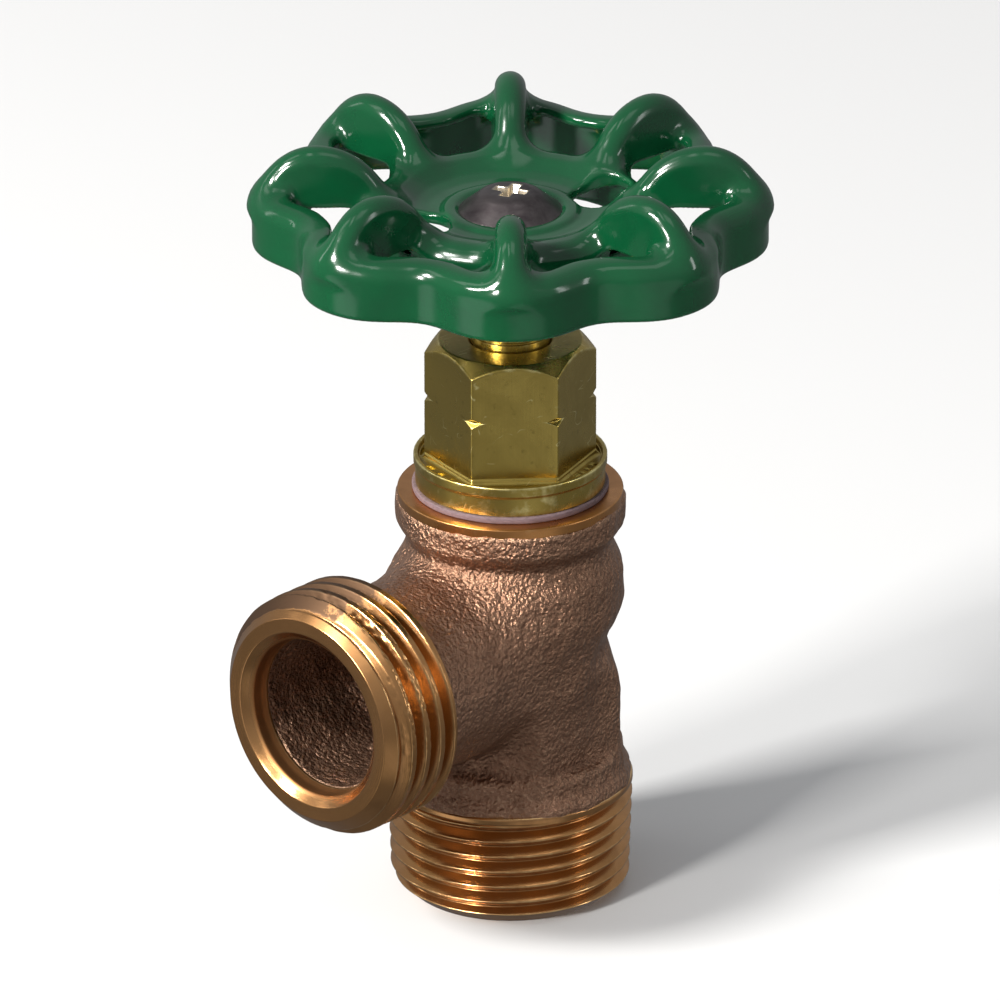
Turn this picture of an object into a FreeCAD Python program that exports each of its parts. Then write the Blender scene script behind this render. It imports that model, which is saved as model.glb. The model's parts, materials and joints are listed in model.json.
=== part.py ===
"""Hose bib: an angle valve with a threaded inlet below, a hose outlet at the side and a handwheel.

Millimetres, +Z up along the stem. The origin is the centre of the inlet's end face, and the
outlet points along -Y. The valve is shut, with its washer on the seat.
"""
import FreeCAD, Part
import math
import os

from FreeCAD import Vector

os.makedirs("parts", exist_ok=True)

UP = Vector(0, 0, 1)
OUTLET_WAY = Vector(0, -1, 0)

# --- Inlet: 3/4-14 taper pipe thread, male -------------------------------------------------
inlet_major_r = 13.335        # crest radius at the thread's large end
inlet_pitch = 25.4 / 14
inlet_taper = 1 / 32          # change of radius per unit of length
inlet_length = 13.0
inlet_land = 0.6              # plain machined ring at the thread's large end
inlet_lead_in = 1.1           # bevel at the thread's small end
inlet_bore_r = 8.0
inlet_bore_length = 20.0
pipe_thread_height = 0.8      # share of the pitch
crest_flat = 0.12             # share of the pitch

# --- Cast boss for a wrench ---------------------------------------------------------------
boss_across_flats = 21.8
boss_corner_r = 2.6
boss_bottom = 16.8
boss_shoulder = 23.6          # where its top starts to slope in
boss_shoulder_r = 12.5
ring_r = 12.2                 # top of the cast ring between the thread and the boss

# --- Seat and chamber -----------------------------------------------------------------------
waist_z = 28.4
waist_r = 10.4
chamber_z = 35.5
chamber_r = 12.25
neck_z = 40.9
neck_r = 11.05
casting_wall = 2.2
seat_z = 27.5
seat_height = 1.6
seat_bore_r = 5.4
seat_land = 1.3
collar_r = 12.33
collar_bottom = 43.2
collar_top = 46.6
collar_band = 0.9             # machined ring below the collar's top
collar_relief = 0.12

# --- Outlet: 3/4-11.5 hose thread, male -----------------------------------------------------
outlet_axis_z = 29.4
outlet_reach = 32.0           # stem axis to the outlet's end face
outlet_major_r = 13.495
outlet_pitch = 25.4 / 11.5
outlet_thread_height = 0.65   # share of the pitch
outlet_crests = 4
outlet_face_r = 11.34
outlet_bore_r = 8.75
outlet_bore_depth = 2.9       # machined length
outlet_core_r = 8.45          # cast passage behind the machined bore
outlet_bevel = 0.45
outlet_neck_r = 10.7
passage_end = 12.2            # the low part of the passage stops this far from the stem axis

# --- Bonnet ------------------------------------------------------------------------------------
bonnet_thread_r = 9.0
bonnet_pitch = 25.4 / 20
bonnet_thread_depth = 0.55
bonnet_sleeve_length = 7.0    # below the flange
flange_r = 10.25
flange_rim_r = 10.45
flange_rim_height = 1.3
flange_height = 3.4
flange_dish = 0.55
hex_across_flats = 16.1
hex_length = 13.2
hex_azimuth = 46.1            # where one flat faces, in degrees from -Y towards +X
hex_chamfer_r = 7.75
groove_r = 8.7                # bottom of the turned groove that nicks the corners
gasket_thickness = 0.7
gasket_r = 10.65

# --- Stem --------------------------------------------------------------------------------------
stem_lead = 2.54
stem_turns = 2.0
stem_thread_r = 5.5
stem_thread_depth = 1.1
stem_thread_length = 8.0
stem_neck_r = 4.3
stem_neck_above_hex = 1.3
stem_shaft_r = 3.7
stem_shaft_length = 12.2
stem_foot_r = 3.9             # plain part below the thread
tang_across_flats = 5.4
o_ring_wire_r = 0.8
o_ring_spacing = 2.6
running_clearance = 0.05
seal_clearance = 0.03
end_play = 0.05

# --- Washer and its holder ----------------------------------------------------------------------
washer_r = 7.0
washer_thickness = 2.6
washer_hole_r = 1.9
holder_base = 1.4
holder_wall = 0.7
holder_lip = 1.5              # how far the rim comes down beside the washer
holder_stud_r = 2.0
holder_stud_length = 4.0
washer_screw_r = 1.5
washer_screw_length = 5.6
washer_screw_head_r = 3.2
washer_screw_head = 1.5

# --- Handwheel ----------------------------------------------------------------------------------
wheel_turn = 42.8 - 45.0      # rest turn of the lobes, degrees
wheel_lobes = 8
wheel_mean_r = 26.3
wheel_wave = 1.55
wheel_wave_sharpness = 0.2
wheel_sheet = 1.3
band_height = 6.6
band_drop = 2.7               # from the stem's shoulder down to the band's lower edge
band_lip = 2.0
web_r = 15.5
web_rise = 1.4
web_skirt = 5.4
hub_r = 9.0
hub_ring_r = 6.5
hub_ring_height = 0.4
hub_ring_width = 1.2
ridge_width = 3.9
ridge_r = 8.0
ridge_centre_r = 20.74
ridge_centre_drop = 0.8       # of the ridge's arc, below the top of the hub
ridge_foot_rise = 1.0         # of its flanks' lower edges, above the top of the hub
web_hole_r = 3.2
web_hole_at = 10.4
web_hole_valley = 1.5         # the first hole's place, counted in lobes

# --- Wheel screw --------------------------------------------------------------------------------
screw_head_r = 5.65
screw_top_r = 2.9
screw_head_height = 2.3
screw_shank_r = 2.35
screw_shank_length = 9.0
recess_width = 1.1
recess_span = 3.6
recess_depth = 1.4


# --- Helpers ------------------------------------------------------------------------------------
def revolved(points):
    """A solid turned about +Z from a closed outline of (radius, height) points."""
    corners = [Vector(r, 0, z) for r, z in points]
    face = Part.Face(Part.makePolygon(corners + corners[:1]))
    return face.revolve(Vector(0, 0, 0), UP, 360)


def turned(curve_points, bottom, top):
    """A solid turned about +Z whose side is a smooth curve through (radius, height) points."""
    curve = Part.BSplineCurve()
    curve.interpolate([Vector(r, 0, z) for r, z in curve_points])
    r_low, z_low = curve_points[0]
    r_high, z_high = curve_points[-1]
    outline = Part.Wire([
        Part.makeLine(Vector(0, 0, bottom), Vector(r_low, 0, bottom)),
        *([Part.makeLine(Vector(r_low, 0, bottom), Vector(r_low, 0, z_low))] if z_low > bottom else []),
        curve.toShape(),
        *([Part.makeLine(Vector(r_high, 0, z_high), Vector(r_high, 0, top))] if top > z_high else []),
        Part.makeLine(Vector(r_high, 0, top), Vector(0, 0, top)),
        Part.makeLine(Vector(0, 0, top), Vector(0, 0, bottom)),
    ])
    return Part.Face(outline).revolve(Vector(0, 0, 0), UP, 360)


def hexagon(across_flats, bottom, top, flat_azimuth):
    """A six-sided prism with the normal of one flat at this azimuth, clockwise from -Y to +X."""
    corner_r = across_flats / math.sqrt(3)
    points = []
    for corner in range(6):
        azimuth = math.radians(flat_azimuth + 30 + 60 * corner)
        points.append(Vector(corner_r * math.sin(azimuth), -corner_r * math.cos(azimuth), bottom))
    return Part.Face(Part.makePolygon(points + points[:1])).extrude(UP * (top - bottom))


def tube(outer_r, inner_r, bottom, top):
    """A plain ring about +Z."""
    outer = Part.makeCylinder(outer_r, top - bottom, Vector(0, 0, bottom))
    return outer.cut(Part.makeCylinder(inner_r, top - bottom, Vector(0, 0, bottom)))


def thread_ridges(crest_r, height, pitch, start, count, taper=0.0):
    """Points up the side of a thread drawn as rings: a flat crest and a sharp root per pitch."""
    points = [(crest_r - height, start)]
    for turn in range(count):
        middle = start + (turn + 0.5) * pitch
        crest = crest_r + taper * (middle - start)
        half_flat = crest_flat * pitch / 2
        points.append((crest, middle - half_flat))
        points.append((crest, middle + half_flat))
        points.append((crest - height, start + (turn + 1) * pitch))
    return points


def laid_towards_outlet(shape):
    """Turn a shape made about +Z so that its +Z end points out of the outlet."""
    laid = shape.copy()
    laid.rotate(Vector(0, 0, 0), Vector(1, 0, 0), 90)
    laid.translate(Vector(0, 0, outlet_axis_z))
    return laid


def around(shape, step, times):
    """Copies of a shape, turned about +Z by a step in degrees."""
    copies = []
    for index in range(times):
        copy = shape.copy()
        copy.rotate(Vector(0, 0, 0), UP, step * index)
        copies.append(copy)
    return copies


# --- Heights that follow from the sizes above ---------------------------------------------------
gasket_top = collar_top + gasket_thickness
flange_top = gasket_top + flange_height
hex_top = flange_top + hex_length
sleeve_bottom = collar_top - bonnet_sleeve_length
stem_lift = stem_lead * stem_turns
neck_bore_r = stem_neck_r + running_clearance
washer_top = seat_z + washer_thickness
holder_top = washer_top + holder_base
foot_z = holder_top + end_play
upper_o_ring_z = hex_top - stem_lift - 2 * o_ring_wire_r
lower_o_ring_z = upper_o_ring_z - o_ring_spacing
thread_bore_top = lower_o_ring_z - 2 * o_ring_wire_r
stem_thread_top = thread_bore_top - stem_lift - 4 * end_play
stem_thread_bottom = stem_thread_top - stem_thread_length
neck_top = hex_top + stem_neck_above_hex
wheel_seat_z = neck_top + stem_shaft_length
hub_top = wheel_seat_z + wheel_sheet
band_bottom = wheel_seat_z - band_drop
band_top = band_bottom + band_height
collar_bore_r = bonnet_thread_r + running_clearance
chamber_ceiling = sleeve_bottom - running_clearance


# --- Body ---------------------------------------------------------------------------------------
def inlet_shape():
    """The tapered inlet thread with its chamfered end and plain ring, up to the cast shoulder."""
    height = pipe_thread_height * inlet_pitch
    turns = int((inlet_length - inlet_land - inlet_lead_in) / inlet_pitch)
    start = inlet_length - inlet_land - turns * inlet_pitch
    crest_r = inlet_major_r - inlet_taper * turns * inlet_pitch
    outline = [(0, 0), (crest_r - height - start / 2, 0)]
    outline += thread_ridges(crest_r, height, inlet_pitch, start, turns, inlet_taper)
    outline += [(inlet_major_r, inlet_length - inlet_land), (inlet_major_r, inlet_length)]
    outline += [(ring_r, boss_bottom), (boss_across_flats / 2, boss_bottom + 1)]
    outline += [(0, boss_bottom + 1)]
    return revolved(outline)


def boss_shape():
    """The rounded hexagon for a wrench, sloping in at the top to meet the waist."""
    prism = hexagon(boss_across_flats, boss_bottom, waist_z, 90)
    upright = [edge for edge in prism.Edges if abs(edge.Vertexes[0].Z - edge.Vertexes[-1].Z) > 1]
    prism = prism.makeFillet(boss_corner_r, upright)
    limit = turned([(boss_shoulder_r, boss_shoulder), (boss_shoulder_r - 0.5, boss_shoulder + 1.4),
                    (waist_r, waist_z)], boss_bottom, waist_z)
    return prism.common(limit)


def chamber_shape():
    """The round chamber, the neck above it and the collar that holds the bonnet."""
    side = [(waist_r, waist_z - 4), (waist_r, waist_z), (chamber_r, chamber_z), (neck_r, neck_z),
            (collar_r, collar_bottom)]
    upper = turned(side, boss_bottom + 1, collar_top - collar_band)
    return upper.fuse(tube(collar_r - collar_relief, 1, collar_top - 2 * collar_band, collar_top))


def outlet_shape():
    """The outlet's neck and its ring-drawn hose thread, with a chamfered end."""
    height = outlet_thread_height * outlet_pitch
    root_r = outlet_major_r - height
    chamfer = outlet_major_r - outlet_face_r
    half_flat = crest_flat * outlet_pitch / 2
    first_crest = outlet_reach - chamfer
    start = first_crest - half_flat - (outlet_crests - 0.5) * outlet_pitch
    side = thread_ridges(outlet_major_r, height, outlet_pitch, start, outlet_crests)[:-1]
    side[-1] = (outlet_major_r, first_crest)
    outline = [(0, 0), (outlet_neck_r, 0), (outlet_neck_r, start - 0.4), (root_r, start - 0.1)]
    outline += side + [(outlet_face_r, outlet_reach), (0, outlet_reach)]
    return laid_towards_outlet(revolved(outline))


def passages():
    """The hollow inside: inlet bore, seat, chamber, bonnet bore and the way to the outlet."""
    floor_z = seat_z - seat_height
    cone_top = inlet_bore_length + (inlet_bore_r - seat_bore_r)
    below = revolved([(0, -1), (inlet_bore_r, -1), (inlet_bore_r, inlet_bore_length),
                      (seat_bore_r, cone_top), (seat_bore_r, seat_z + 1), (0, seat_z + 1)])
    inside = [(waist_r - casting_wall, floor_z), (waist_r - casting_wall, waist_z),
              (chamber_r - casting_wall - 0.4, chamber_z - 0.5), (neck_r - casting_wall, chamber_ceiling)]
    chamber = turned(inside, floor_z, chamber_ceiling + 0.5)
    chamber = chamber.cut(tube(seat_bore_r + seat_land, seat_bore_r, floor_z, seat_z))
    collar = Part.makeCylinder(collar_bore_r, collar_top, Vector(0, 0, chamber_ceiling))
    machined = outlet_reach - outlet_bore_depth
    outlet = revolved([(0, passage_end), (outlet_core_r, passage_end), (outlet_core_r, machined),
                       (outlet_bore_r, machined), (outlet_bore_r, outlet_reach - outlet_bevel),
                       (outlet_bore_r + outlet_bevel + 1, outlet_reach + 1), (0, outlet_reach + 1)])
    branch = laid_towards_outlet(Part.makeCylinder(outlet_core_r, passage_end + 1))
    high = Part.makeBox(60, 60, 60, Vector(-30, -30, floor_z))
    return [below, chamber, collar, laid_towards_outlet(outlet), branch.common(high)]


def make_body():
    """The one-piece casting."""
    outside = inlet_shape().fuse([boss_shape(), chamber_shape(), outlet_shape()])
    return outside.cut(passages()).removeSplitter()


# --- Bonnet and its gasket ----------------------------------------------------------------------
def make_bonnet():
    """Turned hexagon bar: threaded sleeve, dished flange, hexagon and the bores for the stem."""
    turns = int((collar_top - sleeve_bottom) / bonnet_pitch) - 1
    start = sleeve_bottom + bonnet_pitch / 2
    side = thread_ridges(bonnet_thread_r, bonnet_thread_depth, bonnet_pitch, start, turns)
    relief_r = bonnet_thread_r - bonnet_thread_depth
    hex_foot_r = hex_across_flats / 2
    outline = [(0, sleeve_bottom), (relief_r, sleeve_bottom)] + side
    outline += [(relief_r, gasket_top), (flange_r, gasket_top),
                (flange_r, flange_top - flange_rim_height),
                (flange_rim_r, flange_top - flange_rim_height + 0.2),
                (flange_rim_r, flange_top - 0.15), (flange_rim_r - 0.15, flange_top),
                (flange_rim_r - 0.45, flange_top), (flange_rim_r - 1.0, flange_top - flange_dish),
                (hex_foot_r + 0.35, flange_top - flange_dish), (hex_foot_r - 0.2, flange_top),
                (0, flange_top)]
    corner_r = hex_across_flats / math.sqrt(3)
    outside_r = corner_r + 1
    middle = flange_top + hex_length / 2
    groove_depth = outside_r - groove_r
    limit = revolved([(0, flange_top - flange_dish), (outside_r, flange_top - flange_dish),
                      (outside_r, middle - groove_depth), (groove_r, middle),
                      (outside_r, middle + groove_depth), (outside_r, hex_top - outside_r + hex_chamfer_r),
                      (hex_chamfer_r, hex_top), (0, hex_top)])
    prism = hexagon(hex_across_flats, flange_top - flange_dish, hex_top, hex_azimuth).common(limit)
    stem_bore_r = stem_thread_r + running_clearance
    bores = revolved([(0, sleeve_bottom - 1), (stem_bore_r, sleeve_bottom - 1),
                      (stem_bore_r, thread_bore_top), (neck_bore_r, thread_bore_top),
                      (neck_bore_r, hex_top + 1), (0, hex_top + 1)])
    return revolved(outline).fuse(prism).cut(bores).removeSplitter()


def make_bonnet_gasket():
    """Flat fibre ring between the collar and the flange."""
    return tube(gasket_r, bonnet_thread_r + running_clearance, collar_top, gasket_top)


# --- Stem and seals -----------------------------------------------------------------------------
def make_stem():
    """Turned stem: foot, drawn thread, neck with two seal grooves, shaft and square tang."""
    turns = int(stem_thread_length / stem_lead)
    start = stem_thread_bottom + (stem_thread_length - turns * stem_lead) / 2
    side = thread_ridges(stem_thread_r, stem_thread_depth, stem_lead, start, turns)
    root_r = stem_thread_r - stem_thread_depth
    groove_root = stem_neck_r - 2 * o_ring_wire_r + running_clearance - seal_clearance
    outline = [(0, foot_z), (stem_foot_r, foot_z), (stem_foot_r, stem_thread_bottom - 0.5),
               (root_r, stem_thread_bottom)] + side + [(root_r, stem_thread_top),
               (stem_neck_r, stem_thread_top)]
    for ring_z in (lower_o_ring_z, upper_o_ring_z):
        half = o_ring_wire_r + end_play
        outline += [(stem_neck_r, ring_z - half), (groove_root, ring_z - half),
                    (groove_root, ring_z + half), (stem_neck_r, ring_z + half)]
    outline += [(stem_neck_r, neck_top - 0.2), (stem_neck_r - 0.2, neck_top),
                (stem_shaft_r, neck_top), (stem_shaft_r, wheel_seat_z), (0, wheel_seat_z)]
    side_length = tang_across_flats
    tang = Part.makeBox(side_length, side_length, wheel_sheet - 0.2,
                        Vector(-side_length / 2, -side_length / 2, wheel_seat_z))
    tang.rotate(Vector(0, 0, 0), UP, wheel_turn)
    bottom_bore = Part.makeCylinder(holder_stud_r + running_clearance,
                                    holder_stud_length + 2 * end_play, Vector(0, 0, foot_z))
    top_bore = Part.makeCylinder(screw_shank_r + running_clearance,
                                 screw_shank_length + end_play,
                                 Vector(0, 0, hub_top - screw_shank_length - end_play))
    return revolved(outline).fuse(tang).cut([bottom_bore, top_bore]).removeSplitter()


def make_o_ring(height):
    """A rubber ring in one of the stem's grooves."""
    middle_r = neck_bore_r - seal_clearance - o_ring_wire_r
    return Part.makeTorus(middle_r, o_ring_wire_r, Vector(0, 0, height))


# --- Washer, its holder and its screw ------------------------------------------------------------
def make_washer_holder():
    """Brass cup that swivels on a stud in the stem's foot and holds the seat washer."""
    rim_r = washer_r + holder_wall
    cup = revolved([(0, washer_top), (washer_r, washer_top), (washer_r, washer_top - holder_lip),
                    (rim_r, washer_top - holder_lip), (rim_r, holder_top - 0.5),
                    (rim_r - 0.5, holder_top), (holder_stud_r, holder_top),
                    (holder_stud_r, holder_top + holder_stud_length), (0, holder_top + holder_stud_length)])
    bore = Part.makeCylinder(washer_screw_r + running_clearance, washer_screw_length,
                             Vector(0, 0, washer_top))
    return cup.cut(bore)


def make_seat_washer():
    """Flat rubber ring that shuts on the seat, sunk in the middle for the screw's head."""
    blank = tube(washer_r - running_clearance, washer_hole_r, seat_z, washer_top)
    sink = Part.makeCylinder(washer_screw_head_r + running_clearance, washer_screw_head + 0.2,
                             Vector(0, 0, seat_z - 0.2))
    return blank.cut(sink)


def make_washer_screw():
    """Small brass screw that holds the washer in its cup."""
    head_top = seat_z + washer_screw_head
    head = Part.makeCylinder(washer_screw_head_r, washer_screw_head, Vector(0, 0, seat_z))
    shank_top = washer_top + washer_screw_length - 2 * end_play
    shank = Part.makeCylinder(washer_screw_r, shank_top - head_top, Vector(0, 0, head_top))
    slot = Part.makeBox(2 * washer_screw_head_r, 0.9, 0.7, Vector(-washer_screw_head_r, -0.45, seat_z))
    return head.fuse(shank).cut(slot)


# --- Handwheel ----------------------------------------------------------------------------------
def wavy_prism(inset, bottom, top):
    """A prism whose outline waves in and out once per lobe, moved inwards by an inset."""
    points = []
    steps = 8 * wheel_lobes
    for step in range(steps):
        angle = 2 * math.pi * step / steps
        wave = wheel_wave * math.cos(wheel_lobes * angle)
        wave -= wheel_wave_sharpness * math.cos(2 * wheel_lobes * angle)
        radius = wheel_mean_r + wave - inset
        points.append(Vector(radius * math.cos(angle), radius * math.sin(angle), bottom))
    curve = Part.BSplineCurve()
    curve.interpolate(Points=points, PeriodicFlag=True)
    return Part.Face(Part.Wire([curve.toShape()])).extrude(UP * (top - bottom))


def ridge_shape():
    """One hollow ridge: an arched channel that runs from the web out over the band."""
    def drum(radius, width):
        centre = Vector(ridge_centre_r, -width / 2, hub_top - ridge_centre_drop)
        return Part.makeCylinder(radius, width, centre, Vector(0, 1, 0))
    nose_r = wheel_mean_r + wheel_wave - wheel_wave_sharpness
    limit = Part.makeCylinder(nose_r - wheel_sheet / 3, ridge_r * 2, Vector(0, 0, hub_top + ridge_foot_rise))
    shell = drum(ridge_r, ridge_width).cut(drum(ridge_r - wheel_sheet, ridge_width - 2 * wheel_sheet))
    return shell.common(limit).Solids[0]


def make_handwheel():
    """Pressed sheet wheel: hub, web, wavy band and eight hollow ridges."""
    band = wavy_prism(0, band_bottom, band_top).cut(wavy_prism(wheel_sheet, band_bottom, band_top))
    lip = wavy_prism(0, band_top - wheel_sheet, band_top).cut(
        wavy_prism(wheel_sheet + band_lip, band_top - wheel_sheet, band_top))
    web_top = hub_top + web_rise
    ring_in = hub_ring_r - hub_ring_width / 2
    ring_out = hub_ring_r + hub_ring_width / 2
    web = revolved([(0, wheel_seat_z), (hub_r, wheel_seat_z), (web_r - 2.5, web_top - wheel_sheet),
                    (web_r - wheel_sheet, web_top - wheel_sheet), (web_r - wheel_sheet, web_top - web_skirt),
                    (web_r, web_top - web_skirt), (web_r, web_top - 0.8), (web_r - 0.8, web_top),
                    (web_r - 2.5, web_top), (hub_r, hub_top), (ring_out, hub_top),
                    (hub_ring_r + 0.2, hub_top + hub_ring_height),
                    (hub_ring_r - 0.2, hub_top + hub_ring_height), (ring_in, hub_top), (0, hub_top)])
    ridges = around(ridge_shape(), 360 / wheel_lobes, wheel_lobes)
    hole = Part.makeCylinder(web_hole_r, 8, Vector(web_hole_at, 0, wheel_seat_z - 2))
    hole.rotate(Vector(0, 0, 0), UP, 360 / wheel_lobes * web_hole_valley)
    side_length = tang_across_flats + 2 * running_clearance
    square = Part.makeBox(side_length, side_length, 4, Vector(-side_length / 2, -side_length / 2,
                                                              wheel_seat_z - 1))
    wheel = band.fuse(lip)
    for ridge in ridges + [web]:
        wheel = wheel.fuse(ridge)
    wheel = wheel.cut(around(hole, 180, 2) + [square])
    wheel.rotate(Vector(0, 0, 0), UP, wheel_turn)
    return wheel


def make_wheel_screw():
    """Cone-headed screw with a cross recess that holds the wheel on the stem."""
    head = Part.makeCone(screw_head_r, screw_top_r, screw_head_height, Vector(0, 0, hub_top))
    shank = Part.makeCylinder(screw_shank_r, screw_shank_length,
                              Vector(0, 0, hub_top - screw_shank_length))
    blade = Part.makeBox(recess_span, recess_width, recess_depth,
                         Vector(-recess_span / 2, -recess_width / 2,
                                hub_top + screw_head_height - recess_depth))
    return head.fuse(shank).cut(around(blade, 90, 2)).removeSplitter()


PIECES = {
    "body": make_body,
    "bonnet": make_bonnet,
    "bonnet_gasket": make_bonnet_gasket,
    "stem": make_stem,
    "o_ring_lower": lambda: make_o_ring(lower_o_ring_z),
    "o_ring_upper": lambda: make_o_ring(upper_o_ring_z),
    "washer_holder": make_washer_holder,
    "seat_washer": make_seat_washer,
    "washer_screw": make_washer_screw,
    "handwheel": make_handwheel,
    "wheel_screw": make_wheel_screw,
}

for name, make in PIECES.items():
    shape = make()
    shape.exportStep(f"parts/{name}.step")
    print(name, "valid" if shape.isValid() else "NOT VALID", len(shape.Solids), "solid",
          round(shape.Volume, 1), "mm3")
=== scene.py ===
"""Hose bib: the visual model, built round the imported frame.

Sizes are in millimetres and are turned into metres as each mesh is made. Places come from the
frame: the boxes of its nodes and the mounts in its record.
"""
import json
import logging
import math
from dataclasses import dataclass
from enum import Enum
from typing import Callable, Sequence

import bmesh
import bpy
import numpy as np
from mathutils import Matrix, Vector


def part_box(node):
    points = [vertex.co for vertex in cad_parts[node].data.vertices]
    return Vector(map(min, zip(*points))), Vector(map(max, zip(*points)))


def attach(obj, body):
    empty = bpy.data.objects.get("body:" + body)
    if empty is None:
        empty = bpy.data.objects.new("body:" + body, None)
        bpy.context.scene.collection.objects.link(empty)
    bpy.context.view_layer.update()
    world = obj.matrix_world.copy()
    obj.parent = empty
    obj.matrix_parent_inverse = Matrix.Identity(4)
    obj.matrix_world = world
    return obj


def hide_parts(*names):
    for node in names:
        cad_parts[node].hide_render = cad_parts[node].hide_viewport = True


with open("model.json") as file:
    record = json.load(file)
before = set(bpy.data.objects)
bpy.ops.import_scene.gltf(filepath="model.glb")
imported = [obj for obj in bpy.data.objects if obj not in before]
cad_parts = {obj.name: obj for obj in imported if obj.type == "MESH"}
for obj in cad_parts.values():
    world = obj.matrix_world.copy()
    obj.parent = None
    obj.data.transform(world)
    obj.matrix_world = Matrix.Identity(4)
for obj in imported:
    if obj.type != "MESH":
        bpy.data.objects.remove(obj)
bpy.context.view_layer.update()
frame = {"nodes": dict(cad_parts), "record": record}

LOG = logging.getLogger("hose_bib")
MM = 0.001
Array = np.ndarray
Field = Callable[[Array, Array, Array], Array]


class Body(Enum):
    """The rigid bodies that pieces ride on."""

    VALVE = "valve"
    SPINDLE = "spindle"
    WASHER = "washer_carrier"


class Slot(Enum):
    """The record's material slots."""

    CAST_BRONZE = "cast_bronze"
    BONNET_BRASS = "bonnet_brass"
    FIBRE = "fibre"
    STEM_BRASS = "stem_brass"
    SEAL_RUBBER = "seal_rubber"
    WASHER_RUBBER = "washer_rubber"
    SCREW_BRASS = "screw_brass"
    GREEN_ENAMEL = "green_enamel"
    DARK_STEEL = "dark_steel"


# --- Places read from the frame -----------------------------------------------------------------
def node_box(node: str) -> tuple[Array, Array]:
    """Lowest and highest corner of a CAD node, in millimetres.

    Args:
        node: the node's name.

    Returns:
        Two arrays of three numbers.
    """
    low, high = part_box(node)
    return np.array(low) / MM, np.array(high) / MM


def mount(name: str) -> dict:
    """The record's mount of this name."""
    return next(m for m in frame["record"]["mounts"] if m["name"] == name)


@dataclass(frozen=True)
class Places:
    """Heights and radii that several sub-assemblies share."""

    outlet_axis_z: float = mount("outlet_bore")["pos_m"][2] / MM
    outlet_bore_r: float = mount("outlet_bore")["dims"]["r_mm"]
    outlet_thread_r: float = mount("outlet_thread")["dims"]["r_mm"]
    inlet_bore_r: float = mount("inlet_bore")["dims"]["r_mm"]
    inlet_thread_r: float = mount("inlet_thread")["dims"]["r_mm"]
    outlet_reach: float = -node_box("body")[0][1]
    collar_top: float = node_box("bonnet_gasket")[0][2]
    gasket_top: float = node_box("bonnet_gasket")[1][2]
    gasket_r: float = node_box("bonnet_gasket")[1][0]
    hex_top: float = node_box("bonnet")[1][2]
    bonnet_foot: float = node_box("bonnet")[0][2]
    wheel_low: float = node_box("handwheel")[0][2]
    wheel_high: float = node_box("handwheel")[1][2]
    hub_top: float = frame["record"]["behaviour"]["joints"][1]["pos_m"][2] / MM
    bore_step: float = node_box("o_ring_lower")[0][2] - 0.8
    screw_high: float = node_box("wheel_screw")[1][2]
    screw_r: float = node_box("wheel_screw")[1][0]
    machined: float = 2.9                     # how far the outlet's machined end reaches back
    sheet: float = 1.3                        # the handwheel's sheet
    wheel_turn: float = math.radians(-2.2)    # how the square and the lobes are turned at rest


PLACES = Places()


# --- Number helpers -----------------------------------------------------------------------------
def smooth_min(a: Array, b: Array, blend: float) -> Array:
    """The lower of two fields, with a fillet of about this radius where they meet."""
    h = np.clip(blend - np.abs(a - b), 0, None) / blend
    return np.minimum(a, b) - h * h * blend / 4


def smooth_max(a: Array, b: Array, blend: float) -> Array:
    """The higher of two fields, with a rounding of about this radius where they meet."""
    return -smooth_min(-a, -b, blend)


def eased(x: Array, knots: Sequence[tuple[float, float]]) -> Array:
    """Values through (place, value) knots, level at each knot, with half a cosine wave between."""
    places = np.array([k[0] for k in knots], float)
    values = np.array([k[1] for k in knots], float)
    i = np.clip(np.searchsorted(places, x) - 1, 0, len(places) - 2)
    t = np.clip((x - places[i]) / (places[i + 1] - places[i]), 0, 1)
    return values[i] + (values[i + 1] - values[i]) * (0.5 - 0.5 * np.cos(np.pi * t))


def path_distance(u: Array, v: Array, points: Sequence[tuple[float, float]]) -> Array:
    """Distance in a plane from each (u, v) to a line of straight runs through the points."""
    best = np.full(u.shape, 1e9)
    for (u0, v0), (u1, v1) in zip(points[:-1], points[1:]):
        du, dv = u1 - u0, v1 - v0
        t = np.clip(((u - u0) * du + (v - v0) * dv) / (du * du + dv * dv), 0, 1)
        best = np.minimum(best, np.hypot(u - u0 - t * du, v - v0 - t * dv))
    return best


def arc_points(cu: float, cv: float, r: float, start: float, end: float, count: int = 7) -> list:
    """Points along an arc from one angle to another, in degrees."""
    angles = np.radians(np.linspace(start, end, count))
    return [(cu + r * math.cos(a), cv + r * math.sin(a)) for a in angles]


def ripple(x: Array, y: Array, z: Array, scale: float, seed: int, waves: int = 9) -> Array:
    """Smooth unevenness of about unit height: a sum of sine waves in seeded directions.

    Args:
        x, y, z: the places, in millimetres.
        scale: the length of a wave, in millimetres.
        seed: picks the directions and phases.
        waves: how many sine waves are added.

    Returns:
        One value per place.
    """
    draw = np.random.default_rng(seed)
    total = np.zeros(np.shape(x))
    for _ in range(waves):
        way = draw.normal(size=3)
        way *= draw.uniform(0.6, 1.7) / np.linalg.norm(way)
        phase = draw.uniform(0, 2 * np.pi)
        total += np.sin((x * way[0] + y * way[1] + z * way[2]) * 2 * np.pi / scale + phase)
    return total / math.sqrt(waves / 2)


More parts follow.
